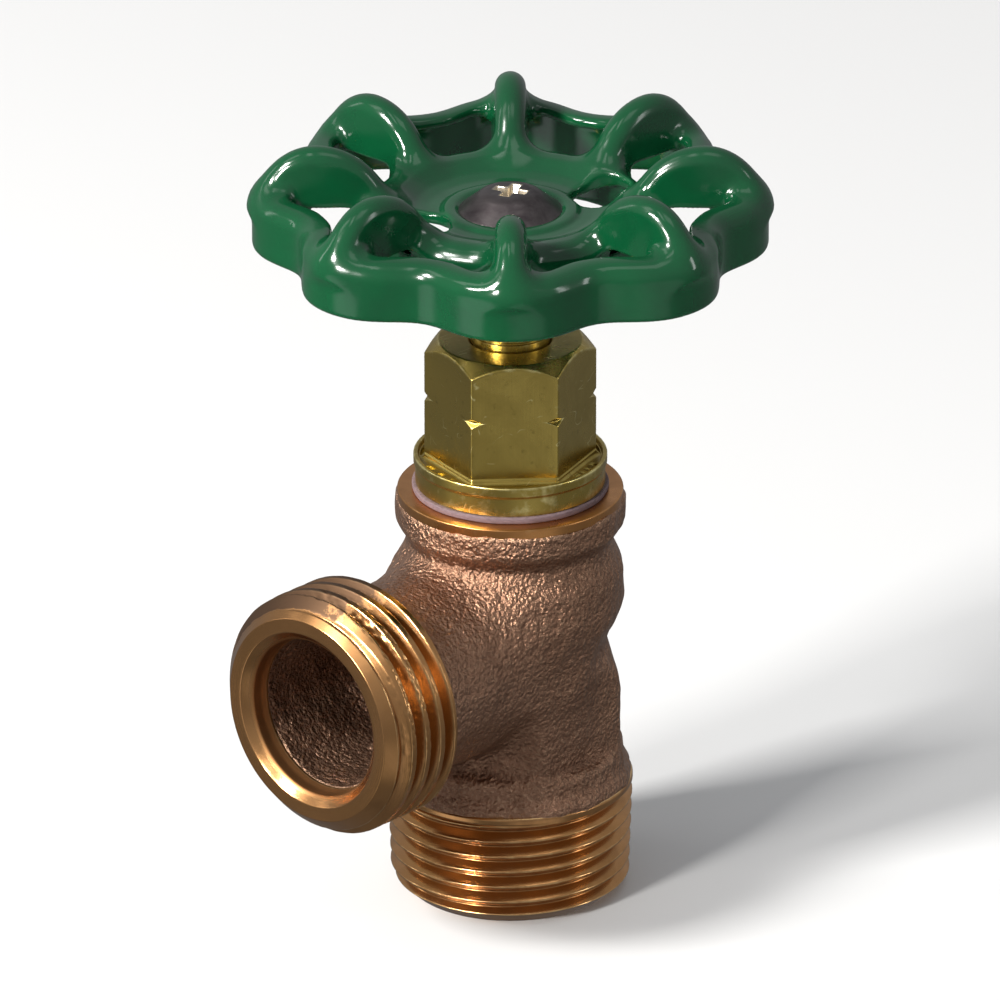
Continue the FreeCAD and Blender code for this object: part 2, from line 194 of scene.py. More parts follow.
# --- Meshes -------------------------------------------------------------------------------------
def mesh_object(name: str, points: Array, faces: Array, smooth: bool = True) -> bpy.types.Object:
    """A mesh object at the origin from points in millimetres.

    Args:
        name: the piece's name.
        points: one row of three numbers per vertex.
        faces: one row of corner numbers per face.
        smooth: whether the faces are shaded smooth.

    Returns:
        The linked object.
    """
    mesh = bpy.data.meshes.new(name)
    sides = faces.shape[1]
    mesh.vertices.add(len(points))
    mesh.vertices.foreach_set("co", (points * MM).astype(np.float32).ravel())
    mesh.loops.add(faces.size)
    mesh.loops.foreach_set("vertex_index", faces.astype(np.int32).ravel())
    mesh.polygons.add(len(faces))
    mesh.polygons.foreach_set("loop_start", np.arange(0, faces.size, sides, dtype=np.int32))
    mesh.polygons.foreach_set("use_smooth", np.full(len(faces), smooth))
    mesh.update(calc_edges=True)
    mesh.validate()
    obj = bpy.data.objects.new(name, mesh)
    bpy.context.scene.collection.objects.link(obj)
    return obj


def set_mask(obj: bpy.types.Object, name: str, values: Array) -> None:
    """Store one number per vertex as a named attribute that a material can read."""
    layer = obj.data.attributes.new(name, "FLOAT", "POINT")
    layer.data.foreach_set("value", np.ascontiguousarray(values, np.float32))


def neighbour_mean(points: Array, faces: Array) -> Array:
    """The mean of each vertex's neighbours along the faces' edges."""
    total = np.zeros_like(points)
    count = np.zeros(len(points))
    for side in range(faces.shape[1]):
        a, b = faces[:, side], faces[:, (side + 1) % faces.shape[1]]
        for axis in range(points.shape[1]):
            total[:, axis] += np.bincount(a, points[b, axis], len(points))
            total[:, axis] += np.bincount(b, points[a, axis], len(points))
        count += np.bincount(a, minlength=len(points)) + np.bincount(b, minlength=len(points))
    return total / np.maximum(count, 1)[:, None]


def vertex_normals(points: Array, faces: Array) -> Array:
    """Unit normals at the vertices, from the faces' diagonals."""
    across = np.cross(points[faces[:, 2]] - points[faces[:, 0]], points[faces[:, 3]] - points[faces[:, 1]])
    normals = np.zeros_like(points)
    for side in range(4):
        for axis in range(3):
            normals[:, axis] += np.bincount(faces[:, side], across[:, axis], len(points))
    return normals / np.maximum(np.linalg.norm(normals, axis=1), 1e-12)[:, None]


def edge_mask(points: Array, faces: Array, spread: int = 2) -> Array:
    """How far each vertex stands out from its neighbours: 0.5 on a flat, 1 on an edge, 0 in a crease."""
    normals = vertex_normals(points, faces)
    size = math.sqrt(np.median(np.linalg.norm(np.cross(
        points[faces[:, 2]] - points[faces[:, 0]], points[faces[:, 3]] - points[faces[:, 1]]), axis=1)) / 2)
    out = ((points - neighbour_mean(points, faces)) * normals).sum(1) / size
    for _ in range(spread):
        out = 0.5 * out + 0.5 * neighbour_mean(out[:, None], faces)[:, 0]
    return np.clip(0.5 + 2.2 * out, 0, 1)


@dataclass(frozen=True)
class Implicit:
    """A closed solid given by a field that is negative inside it.

    The field is sampled on a cubic grid. Each cell whose corners differ in sign gets one point, at the
    mean of the places where the field is nil along the cell's edges. Each grid edge that the surface
    crosses gets one face, through the points of the four cells round it. The points are then evened out
    and moved along the field's gradient until the field there is nil.
    """

    shape: Field
    low: Sequence[float]
    high: Sequence[float]
    step: float
    evenings: int = 2

    def _grid(self) -> tuple[Array, Array]:
        """The grid's origin and the field's value at each of its points."""
        low = np.array(self.low, float) - 1.5 * self.step
        counts = np.ceil((np.array(self.high) + 1.5 * self.step - low) / self.step).astype(int) + 1
        axes = [low[i] + self.step * np.arange(counts[i]) for i in range(3)]
        values = np.empty(counts)
        for layer, height in enumerate(axes[2]):
            x, y = np.meshgrid(axes[0], axes[1], indexing="ij")
            values[:, :, layer] = self.shape(x, y, np.full(x.shape, height))
        return low, values

    def _snap(self, points: Array, rounds: int = 4) -> Array:
        """Points moved to where the field is nil, by Newton steps no longer than a cell."""
        nudge = self.step * 0.05
        for _ in range(rounds):
            value = self.shape(*points.T)
            slope = np.empty_like(points)
            for axis in range(3):
                ahead, behind = points.copy(), points.copy()
                ahead[:, axis] += nudge
                behind[:, axis] -= nudge
                slope[:, axis] = (self.shape(*ahead.T) - self.shape(*behind.T)) / (2 * nudge)
            steep = np.maximum((slope ** 2).sum(1), 0.04)
            move = -(value / steep)[:, None] * slope
            length = np.maximum(np.linalg.norm(move, axis=1), 1e-12)
            points = points + move * np.minimum(1, self.step * 0.7 / length)[:, None]
        return points

    def surface(self) -> tuple[Array, Array]:
        """The points and the four-sided faces of the solid's surface, facing outwards."""
        low, values = self._grid()
        inside = values < 0
        cells = tuple(n - 1 for n in values.shape)
        corner_sum = np.zeros(cells, int)
        for dx in (0, 1):
            for dy in (0, 1):
                for dz in (0, 1):
                    corner_sum += inside[dx:dx + cells[0], dy:dy + cells[1], dz:dz + cells[2]]
        mixed = np.argwhere((corner_sum > 0) & (corner_sum < 8))
        number = np.full(cells, -1)
        number[tuple(mixed.T)] = np.arange(len(mixed))
        total, count = np.zeros((len(mixed), 3)), np.zeros(len(mixed))
        faces = []
        for axis in range(3):
            along = np.eye(3, dtype=int)[axis]
            second, third = np.eye(3, dtype=int)[(axis + 1) % 3], np.eye(3, dtype=int)[(axis + 2) % 3]
            for b in (0, 1):
                for c in (0, 1):
                    start = mixed + b * second + c * third
                    v0, v1 = values[tuple(start.T)], values[tuple((start + along).T)]
                    cross = (v0 < 0) != (v1 < 0)
                    t = np.where(cross, v0 / np.where(cross, v0 - v1, 1), 0)
                    total += np.where(cross[:, None], start + t[:, None] * along, 0)
                    count += cross
            lower = np.take(inside, range(values.shape[axis] - 1), axis)
            upper = np.take(inside, range(1, values.shape[axis]), axis)
            edges = np.argwhere(lower != upper)
            good = np.all((edges[:, [(axis + 1) % 3, (axis + 2) % 3]] > 0)
                          & (edges[:, [(axis + 1) % 3, (axis + 2) % 3]]
                             < np.array(cells)[[(axis + 1) % 3, (axis + 2) % 3]]), axis=1)
            edges = edges[good]
            ring = [edges - second - third, edges - third, edges, edges - second]
            quads = np.stack([number[tuple(cell.T)] for cell in ring], axis=1)
            outward = inside[tuple(edges.T)]
            faces.append(np.where(outward[:, None], quads, quads[:, ::-1]))
        faces = np.concatenate(faces)
        points = low + self.step * total / count[:, None]
        for _ in range(self.evenings):
            points = self._snap(0.4 * points + 0.6 * neighbour_mean(points, faces), 2)
        return self._snap(points), faces

    def build(self, name: str, **masks: Field) -> bpy.types.Object:
        """The solid as a mesh object, with its edge mask and any masks given as fields."""
        points, faces = self.surface()
        obj = mesh_object(name, points, faces)
        set_mask(obj, "edge", edge_mask(points, faces))
        for label, mask in masks.items():
            set_mask(obj, label, mask(*points.T))
        return obj


def turned_object(name: str, radius: Array, height: Array, closed: bool = True,
                  angles: Array | None = None) -> bpy.types.Object:
    """A ring about +Z from a grid of radii and heights.

    Row i, column j of the grid lies at the column's angle, at radius[i, j] and height[i, j]. The rows
    run round the ring's outline: along the bottom outwards, up the outside, along the top inwards and
    down the inside. The last row joins the first, or else both lie on the axis as closed poles.

    Args:
        name: the piece's name.
        radius, height: arrays of rows x columns, in millimetres.
        closed: whether the last row joins the first.
        angles: the columns' angles in radians; evenly spaced if left out.

    Returns:
        The object, with its edge mask.
    """
    rows, columns = radius.shape
    angle = 2 * np.pi * np.arange(columns) / columns if angles is None else angles
    points = np.stack([radius * np.cos(angle), radius * np.sin(angle), height], axis=2).reshape(-1, 3)
    number = np.arange(rows * columns).reshape(rows, columns)
    upper = np.roll(number, -1, axis=0)
    lower, upper = (number, upper) if closed else (number[:-1], upper[:-1])
    faces = np.stack([lower, np.roll(lower, -1, axis=1), np.roll(upper, -1, axis=1), upper],
                     axis=2).reshape(-1, 4)
    obj = mesh_object(name, points, faces)
    set_mask(obj, "edge", edge_mask(points, faces))
    if not closed:
        shell = bmesh.new()
        shell.from_mesh(obj.data)
        bmesh.ops.remove_doubles(shell, verts=shell.verts, dist=1e-7)
        shell.to_mesh(obj.data)
        shell.free()
    return obj


def rounded_outline(corners: Sequence[tuple[float, float, float]], steps: int = 4) -> Array:
    """A closed outline through (radius, height, rounding) corners, each rounded by an arc.

    Args:
        corners: the outline's corners, with how far from each corner its rounding starts.
        steps: how many runs each rounding has.

    Returns:
        One row of (radius, height) per point.
    """
    points = []
    count = len(corners)
    for i, (r, z, cut) in enumerate(corners):
        here = np.array([r, z])
        if cut == 0:
            points.append(here)
            continue
        before = np.array(corners[i - 1][:2]) - here
        after = np.array(corners[(i + 1) % count][:2]) - here
        start = here + before / np.linalg.norm(before) * cut
        end = here + after / np.linalg.norm(after) * cut
        for t in np.linspace(0, 1, steps + 1):
            points.append((1 - t) ** 2 * start + 2 * t * (1 - t) * here + t * t * end)
    return np.array(points)


def profile(corners: Sequence[tuple[float, float, float]], longest: float = 0.25) -> tuple[Array, Array]:
    """Rows of radii and heights down an open outline, with rounded corners and no long runs.

    Args:
        corners: (radius, height, rounding) of each corner; the ends have no rounding.
        longest: the longest run between rows.

    Returns:
        A column of radii and a column of heights.
    """
    outline = rounded_outline(corners)
    rows = [outline[:1]]
    for a, b in zip(outline[:-1], outline[1:]):
        parts = max(1, int(np.ceil(np.linalg.norm(b - a) / longest)))
        rows.append(a + (b - a) * (np.arange(1, parts + 1) / parts)[:, None])
    rows = np.concatenate(rows)
    return rows[:, :1], rows[:, 1:]


def stacked(columns: int, *parts: tuple[object, object]) -> tuple[Array, Array]:
    """One grid of radii and one of heights, from parts laid one after another.

    Args:
        columns: how many columns the grid has.
        parts: pairs of radius and height, each a number, a column of rows or a whole grid.
    """
    grids = []
    for pair in parts:
        pair = np.broadcast_arrays(*(np.atleast_2d(value) for value in pair))
        grids.append([np.broadcast_to(value, (len(value), columns)) for value in pair])
    return np.concatenate([g[0] for g in grids]), np.concatenate([g[1] for g in grids])


def column(start: float, end: float, count: int) -> Array:
    """Evenly spaced numbers as a column of rows."""
    return np.linspace(start, end, count)[:, None]


def bar_angles(sides: int, across: float, corner: float, first: float, per_flat: int = 20,
               per_corner: int = 4) -> Array:
    """Angles round a bar of flats, close together at its rounded corners.

    Args:
        sides, across, corner: the number of flats, the size across them, the corners' rounding radius.
        first: the direction of one flat's normal, in radians.
        per_flat, per_corner: how many columns each flat and each corner has.
    """
    half = math.pi / sides
    edge = math.atan((across / 2 - corner) * math.tan(half) / (across / 2))
    one = np.concatenate([np.linspace(-edge, edge, per_flat, endpoint=False),
                          np.linspace(edge, 2 * half - edge, per_corner, endpoint=False)])
    return first + np.concatenate([one + 2 * half * side for side in range(sides)])


def bar_radius(angles: Array, sides: int, across: float, corner: float, first: float) -> Array:
    """Radius of a bar of flats: a / cos on a flat, and where a ray meets the corner's arc beyond it."""
    half = math.pi / sides
    away = np.abs((angles - first + half) % (2 * half) - half)
    centre = (across / 2 - corner) / math.cos(half)
    off_corner = half - away
    edge = math.atan((across / 2 - corner) * math.tan(half) / (across / 2))
    arc = centre * np.cos(off_corner) + np.sqrt(
        np.maximum(corner ** 2 - (centre * np.sin(off_corner)) ** 2, 0))
    return np.where(away < edge, across / 2 / np.cos(away), arc)


def turn_to_outlet(obj: bpy.types.Object) -> None:
    """Lay a piece that was made about +Z along the outlet, with its top at the outlet's mouth."""
    count = len(obj.data.vertices)
    co = np.empty(count * 3, np.float32)
    obj.data.vertices.foreach_get("co", co)
    x, y, z = co.reshape(-1, 3).T
    laid = np.stack([x, -z, y + PLACES.outlet_axis_z * MM], axis=1)
    obj.data.vertices.foreach_set("co", laid.ravel())
    obj.data.update()


def thread_wave(turns: Array, crest: float = 0.14, root: float = 0.1) -> Array:
    """A thread's section: 1 on the flat crest, 0 on the flat root, straight flanks between.

    Args:
        turns: the place along the thread, in pitches; crests lie at whole numbers.
        crest, root: the shares of the pitch that are flat.
    """
    away = np.abs((turns + 0.5) % 1 - 0.5) * 2
    return np.clip((1 - root - away) / (1 - root - crest), 0, 1)


# --- Shader node helpers ------------------------------------------------------------------------
class Graph:
    """A node tree with short ways to add nodes, join them and do sums."""

    def __init__(self, tree: bpy.types.NodeTree) -> None:
        """Keep the tree that nodes are added to."""
        self.tree = tree

    def add(self, kind: str, inputs: dict | None = None, **settings: object) -> bpy.types.Node:
        """Add a node.

        Args:
            kind: the node's type without "ShaderNode".
            inputs: socket name or number to a value, or to an output socket to join.
            settings: the node's own properties.

        Returns:
            The node.
        """
        node = self.tree.nodes.new("ShaderNode" + kind)
        for key, value in settings.items():
            setattr(node, key, value)
        self.put(node, inputs or {})
        return node

    def put(self, node: bpy.types.Node, inputs: dict) -> None:
        """Set a node's inputs to values, or join them to output sockets."""
        for key, value in inputs.items():
            if isinstance(value, bpy.types.NodeSocket):
                self.tree.links.new(value, node.inputs[key])
            else:
                node.inputs[key].default_value = value

    def use(self, tree: bpy.types.NodeTree, **inputs: object) -> bpy.types.Node:
        """Place a shared group and set or join its inputs."""
        return self.add("Group", inputs, node_tree=tree)

    def mask(self, name: str) -> bpy.types.NodeSocket:
        """The piece's stored mask of this name, or 0 where the piece has none."""
        return self.add("Attribute", attribute_name=name).outputs["Fac"]

    def sum(self, operation: str, *values: object) -> bpy.types.NodeSocket:
        """A Math node of this operation on numbers or sockets."""
        return self.add("Math", dict(enumerate(values)), operation=operation).outputs[0]

    def plus(self, a: object, b: object) -> bpy.types.NodeSocket:
        """Two values added."""
        return self.sum("ADD", a, b)

    def less(self, a: object, b: object) -> bpy.types.NodeSocket:
        """The first value less the second."""
        return self.sum("SUBTRACT", a, b)

    def times(self, a: object, b: object) -> bpy.types.NodeSocket:
        """Two values multiplied."""
        return self.sum("MULTIPLY", a, b)

    def noise(self, place: object, scale: float, detail: float = 3.0, rough: float = 0.5) -> object:
        """A noise texture's value at a place."""
        return self.add("TexNoise", {"Vector": place, "Scale": scale, "Detail": detail,
                                     "Roughness": rough}).outputs["Fac"]

    def ramp(self, value: object, low: float, high: float) -> bpy.types.NodeSocket:
        """0 below low, 1 above high, and a straight rise between."""
        return self.add("MapRange", {"Value": value, "From Min": low, "From Max": high}).outputs[0]

    def mix(self, share: object, a: object, b: object) -> bpy.types.NodeSocket:
        """Two colours mixed by a share."""
        return self.add("Mix", {0: share, 6: a, 7: b}, data_type="RGBA").outputs[2]


def rgb(red: float, green: float, blue: float) -> tuple[float, float, float, float]:
    """A linear colour from display values of 0 to 255."""
    def linear(value: float) -> float:
        """One channel on the display curve turned linear."""
        c = value / 255
        return c / 12.92 if c <= 0.04045 else ((c + 0.055) / 1.055) ** 2.4
    return linear(red), linear(green), linear(blue), 1.0


def make_group(name: str, inputs: Sequence[str], outputs: Sequence[str],
               fill: Callable[[Graph, object, object], None]) -> bpy.types.NodeTree:
    """A shader node group.

    Args:
        name: the group's name.
        inputs: the input sockets; "Place" is a vector and the others are numbers.
        outputs: the output sockets, all numbers.
        fill: called with the graph and the group's input and output nodes.

    Returns:
        The group's tree.
    """
    tree = bpy.data.node_groups.new(name, "ShaderNodeTree")
    for side, labels in (("INPUT", inputs), ("OUTPUT", outputs)):
        for label in labels:
            kind = "NodeSocketVector" if label == "Place" else "NodeSocketFloat"
            tree.interface.new_socket(label, in_out=side, socket_type=kind)
    fill(Graph(tree), tree.nodes.new("NodeGroupInput"), tree.nodes.new("NodeGroupOutput"))
    return tree


class Effects:
    """Surface effects that several finishes share, each a node group built once."""

    def __init__(self) -> None:
        """Build the groups."""
        self.grain = make_group("sand_cast_grain", ("Place", "Scale"), ("Height", "PaintedGlint"), self._grain)
        self.wear_and_shade = make_group("edge_wear_and_crease_shade", ("Place", "Edge", "From", "To"), ("Worn", "CreaseShade"), self._wear_and_shade)
        self.turning = make_group("turning_marks", ("Place", "Pitch"), ("Height",), self._turning)
        self.smudge = make_group("smudges", ("Place", "Scale"), ("Patch", "Fleck"), self._smudge)
        self.dings = make_group("scratches", ("Place", "Scale"), ("Scratch",), self._dings)

    @staticmethod
    def _grain(g: Graph, source: object, target: object) -> None:
        """Sand-mould texture in three layers from fine to broad, and a mask of its tops, where a glint is
        painted lighter.
        """
        place, scale = source.outputs["Place"], source.outputs["Scale"]
        wide = g.add("TexNoise", {"Vector": place, "Scale": scale, "Detail": 3.0, "Roughness": 0.62})
        cells = g.add("TexVoronoi", {"Vector": place, "Scale": g.times(scale, 0.8),
                                     "Randomness": 1.0, "Smoothness": 0.35}, feature="SMOOTH_F1")
        large = g.add("TexNoise", {"Vector": place, "Scale": g.times(scale, 0.35), "Detail": 2.0})
        lumps = g.less(1.0, cells.outputs["Distance"])
        height = g.plus(wide.outputs["Fac"], g.times(lumps, 0.55))
        height = g.plus(height, g.times(large.outputs["Fac"], 0.9))
        g.put(target, {"Height": height})
        g.put(target, {"PaintedGlint": g.ramp(wide.outputs["Fac"], 0.5, 0.72)})

    @staticmethod
    def _wear_and_shade(g: Graph, source: object, target: object) -> None:
        """Masks of the edges that are rubbed bright and of the creases, where shade is painted darker, broken
        by noise.
        """
        rough = g.noise(source.outputs["Place"], 700.0, 3.0, 0.6)
        edge = g.plus(source.outputs["Edge"], g.times(g.less(rough, 0.5), 0.3))
        worn = g.add("MapRange", {"Value": edge, "From Min": source.outputs["From"],
                                  "From Max": source.outputs["To"]})
        g.put(target, {"Worn": worn.outputs[0]})
        # painted shade: the creases are marked to be painted darker
        g.put(target, {"CreaseShade": g.ramp(edge, 0.44, 0.26)})

    @staticmethod
    def _turning(g: Graph, source: object, target: object) -> None:
        """Fine rings left by a cutting tool about the place's X axis, on walls and on end faces alike."""
        axis = g.add("SeparateXYZ", {"Vector": source.outputs["Place"]})
        y, z = axis.outputs["Y"], axis.outputs["Z"]
        radius = g.sum("SQRT", g.plus(g.times(y, y), g.times(z, z)))
        run = g.times(g.plus(axis.outputs["X"], radius), source.outputs["Pitch"])
        lines = g.add("CombineXYZ", {"X": run, "Y": g.times(y, 60.0),
                                     "Z": g.times(z, 60.0)})
        g.put(target, {"Height": g.noise(lines.outputs[0], 1.0, 4.0, 0.65)})

    @staticmethod
    def _smudge(g: Graph, source: object, target: object) -> None:
        """Broad cloudy patches and small dark flecks."""
        place, scale = source.outputs["Place"], source.outputs["Scale"]
        broad = g.add("TexNoise", {"Vector": place, "Scale": scale, "Detail": 5.0, "Roughness": 0.6,
                                   "Distortion": 0.6})
        fine = g.add("TexNoise", {"Vector": place, "Scale": g.times(scale, 9.0), "Detail": 3.0})
        g.put(target, {"Patch": g.ramp(broad.outputs["Fac"], 0.38, 0.66)})
        g.put(target, {"Fleck": g.ramp(fine.outputs["Fac"], 0.64, 0.74)})

    @staticmethod
    def _dings(g: Graph, source: object, target: object) -> None:
        """Thin curved handling scratches: the zero lines of a stretched noise, shown only in patches."""
        place, scale = source.outputs["Place"], source.outputs["Scale"]
        stretched = g.add("Mapping", {"Vector": place, "Rotation": (0.5, 0.9, 0.4),
                                      "Scale": (1.0, 0.25, 1.0)})
        wavy = g.add("TexNoise", {"Vector": stretched.outputs[0], "Scale": scale, "Detail": 1.0,
                                  "Distortion": 1.2})
        line = g.sum("ABSOLUTE", g.less(wavy.outputs["Fac"], 0.5))
        where = g.add("TexNoise", {"Vector": place, "Scale": g.times(scale, 1.7), "Detail": 1.0})
        shown = g.ramp(where.outputs["Fac"], 0.56, 0.64)
        g.put(target, {"Scratch": g.times(g.ramp(line, 0.012, 0.002), shown)})


class Finish:
    """What the finishes share: a material with a Principled shader and a place to read noise from."""

    name = "finish"

    def start(self) -> tuple[bpy.types.Material, Graph, object, object]:
        """A new material.

        Returns:
            The material, its graph, its Principled node and the Object coordinate socket.
        """
        material = bpy.data.materials.new(self.name)
        material.use_nodes = True
        graph = Graph(material.node_tree)
        shader = next(n for n in graph.tree.nodes if n.type == "BSDF_PRINCIPLED")
        place = graph.add("TexCoord").outputs["Object"]
        return material, graph, shader, place

    @staticmethod
    def bump(graph: Graph, shader: object, layers: Sequence[tuple[object, float, float]]) -> None:
        """Chain Bump nodes of (height, strength, distance in metres) into the shader's normal."""
        below = {}
        for height, strength, distance in layers:
            node = graph.add("Bump", {"Height": height, "Strength": strength, "Distance": distance, **below})
            below = {"Normal": node.outputs["Normal"]}
        graph.put(shader, below)


@dataclass
class CastBronze(Finish):
    """Sand-cast red bronze: brown, pebbled all over, with bright rubbed tops, painted glints on its grain and
    painted shade in its creases.

    Where the piece's "hollow" attribute is 1 the inside is painted darker as shade, and is less metallic.
    """

    name: str = "cast_bronze"
    base: tuple = rgb(154, 117, 94)
    light: tuple = rgb(214, 176, 144)
    dark: tuple = rgb(98, 70, 54)
    hollow_shade: tuple = rgb(62, 48, 40)
    grain_scale: float = 2500.0

    def make(self, effects: Effects) -> bpy.types.Material:
        """Build the material."""
        material, g, shader, place = self.start()
        grain = g.use(effects.grain, Place=place, Scale=self.grain_scale)
        wear_and_shade = g.use(effects.wear_and_shade, Place=place, Edge=g.mask("edge"), From=0.62, To=0.98)
        cloud = g.use(effects.smudge, Place=place, Scale=110.0)
        colour = g.mix(g.times(cloud.outputs["Patch"], 0.4), self.base, self.dark)
        # painted glint: the grain's tops are painted lighter
        colour = g.mix(g.times(grain.outputs["PaintedGlint"], 0.35), colour, self.light)
        colour = g.mix(g.times(wear_and_shade.outputs["Worn"], 0.35), colour, self.light)
        # painted shade: the creases are painted darker
        colour = g.mix(g.times(wear_and_shade.outputs["CreaseShade"], 0.6), colour, self.dark)
        # painted shade: the hollow inside is painted darker, less where a glint is painted
        hollow = g.mask("hollow")
        hollow_shade_share = g.less(0.5, g.times(grain.outputs["PaintedGlint"], 0.5))
        g.put(shader, {"Base Color": g.mix(g.times(hollow, hollow_shade_share), colour, self.hollow_shade),
                       "Roughness": g.plus(0.33, g.times(cloud.outputs["Patch"], 0.08)),
                       "Metallic": g.less(0.95, g.times(hollow, 0.15))})
        self.bump(g, shader, [(grain.outputs["Height"], 1.0, 0.0003)])
        return material


@dataclass
class TurnedBronze(Finish):
    """Machined red bronze of the threads, faces and bores, with tool rings.

    The piece's "bore" attribute marks the walls inside the mouth, which are rougher and painted darker as
    shade, and its "stain" attribute where oxide lies.
    """

    name: str = "turned_bronze"
    base: tuple = rgb(200, 148, 96)
    pale: tuple = rgb(250, 214, 156)
    dark: tuple = rgb(108, 72, 44)
    rough: float = 0.17
    rotation: tuple[float, float, float] = (0.0, math.pi / 2, 0.0)
    location: tuple[float, float, float] = (0.0, 0.0, 0.0)
    oxide: tuple = rgb(62, 50, 44)

    def make(self, effects: Effects) -> bpy.types.Material:
        """Build the material; the mapping turns the piece's axis to X for the tool rings."""
        material, g, shader, place = self.start()
        along = g.add("Mapping", {"Vector": place, "Location": self.location,
                                  "Rotation": self.rotation}).outputs[0]
        rings = g.use(effects.turning, Place=along, Pitch=14000.0)
        wear_and_shade = g.use(effects.wear_and_shade, Place=place, Edge=g.mask("edge"), From=0.58, To=0.8)
        cloud = g.use(effects.smudge, Place=place, Scale=170.0)
        scratch = g.use(effects.dings, Place=place, Scale=420.0)
        colour = g.mix(g.times(cloud.outputs["Patch"], 0.3), self.base, self.dark)
        colour = g.mix(g.times(wear_and_shade.outputs["Worn"], 0.7), colour, self.pale)
        # painted shade: the creases are painted darker
        colour = g.mix(g.times(wear_and_shade.outputs["CreaseShade"], 0.6), colour, self.dark)
        bore = g.mask("bore")
        rough = g.plus(g.plus(self.rough, g.times(bore, 0.3)),
                      g.times(cloud.outputs["Patch"], 0.1))
        # painted shade: the walls inside the mouth are painted darker
        colour = g.mix(g.times(bore, 0.65), colour, self.dark)
        oxide = g.mask("stain")
        broken = g.times(g.less(g.noise(place, 520.0, 5.0, 0.7), 0.5), 1.1)
        stain = g.ramp(g.plus(oxide, broken), 0.38, 0.6)
        g.put(shader, {"Base Color": g.mix(g.times(stain, 0.88), colour, self.oxide),
                       "Roughness": g.plus(rough, g.times(stain, 0.32)), "Metallic": 1.0})
        self.bump(g, shader, [(rings.outputs["Height"], 0.25, 0.00003),
                              (scratch.outputs["Scratch"], -0.35, 0.00004),
                              (cloud.outputs["Fleck"], -0.2, 0.00005)])
        return material


@dataclass
class YellowBrass(Finish):
    """Drawn and turned yellow brass with handling marks, smudges and bright edges.

    Where the piece's "flat" attribute is 1 the marks run along the bar, and elsewhere they are rings.
    """

    name: str = "yellow_brass"
    base: tuple = rgb(188, 164, 86)
    pale: tuple = rgb(252, 238, 170)
    dark: tuple = rgb(112, 96, 46)
    rough: float = 0.24

    def make(self, effects: Effects) -> bpy.types.Material:
        """Build the material."""
        material, g, shader, place = self.start()
        along = g.add("Mapping", {"Vector": place, "Rotation": (0.0, math.pi / 2, 0.0)}).outputs[0]
        rings = g.use(effects.turning, Place=along, Pitch=9000.0)
        flat = g.mask("flat")
        drawn_out = g.add("Mapping", {"Vector": place, "Scale": (1.0, 1.0, 0.03)}).outputs[0]
        drawn = g.noise(drawn_out, 5200.0, 3.0, 0.6)
        marks = g.plus(g.times(flat, drawn),
                      g.times(g.less(1.0, flat), rings.outputs["Height"]))
        wear_and_shade = g.use(effects.wear_and_shade, Place=place, Edge=g.mask("edge"), From=0.56, To=0.68)
        cloud = g.use(effects.smudge, Place=place, Scale=150.0)
        scratch = g.use(effects.dings, Place=place, Scale=330.0)
        colour = g.mix(g.times(cloud.outputs["Patch"], 0.4), self.base, self.dark)
        colour = g.mix(g.times(cloud.outputs["Fleck"], 0.35), colour, self.dark)
        # painted shade: the creases are painted darker
        colour = g.mix(g.times(wear_and_shade.outputs["CreaseShade"], 0.6), colour, self.dark)
        bright = g.sum("MAXIMUM", wear_and_shade.outputs["Worn"], g.times(scratch.outputs["Scratch"], 0.6))
        g.put(shader, {"Base Color": g.mix(bright, colour, self.pale), "Metallic": 1.0,
                       "Roughness": g.plus(self.rough, g.times(cloud.outputs["Patch"], 0.14))})
        self.bump(g, shader, [(marks, 0.14, 0.00005), (scratch.outputs["Scratch"], -0.5, 0.00005),
                              (g.noise(place, 700.0, 4.0, 0.6), 0.12, 0.0001)])
        return material


@dataclass
class GreenEnamel(Finish):
    """Thick glossy baked enamel over pressed steel, with orange peel and dust nibs."""

    name: str = "green_enamel"
    base: tuple = rgb(6, 62, 34)
    deep: tuple = rgb(4, 44, 25)
    thin: tuple = rgb(30, 112, 66)

    def make(self, effects: Effects) -> bpy.types.Material:
        """Build the material."""
        material, g, shader, place = self.start()
        cloud = g.use(effects.smudge, Place=place, Scale=120.0)
        wear_and_shade = g.use(effects.wear_and_shade, Place=place, Edge=g.mask("edge"), From=0.66, To=1.0)
        colour = g.mix(g.times(cloud.outputs["Patch"], 0.35), self.base, self.deep)
        # painted shade: the creases are painted a deeper green
        colour = g.mix(g.times(wear_and_shade.outputs["CreaseShade"], 0.5), colour, self.deep)
        g.put(shader, {"Base Color": g.mix(g.times(wear_and_shade.outputs["Worn"], 0.25), colour, self.thin),
                       "Roughness": g.plus(0.1, g.times(cloud.outputs["Patch"], 0.1)), "IOR": 1.52})
        nib = g.add("TexVoronoi", {"Vector": place, "Scale": 900.0, "Randomness": 1.0})
        nibs = g.times(g.ramp(nib.outputs["Distance"], 0.2, 0.02),
                     g.ramp(g.noise(place, 260.0, 1.0), 0.6, 0.66))
        self.bump(g, shader, [(g.noise(place, 420.0, 2.0, 0.4), 0.1, 0.00022),
                              (g.noise(place, 2200.0, 1.0), 0.05, 0.00005), (nibs, 0.3, 0.00005)])
        return material


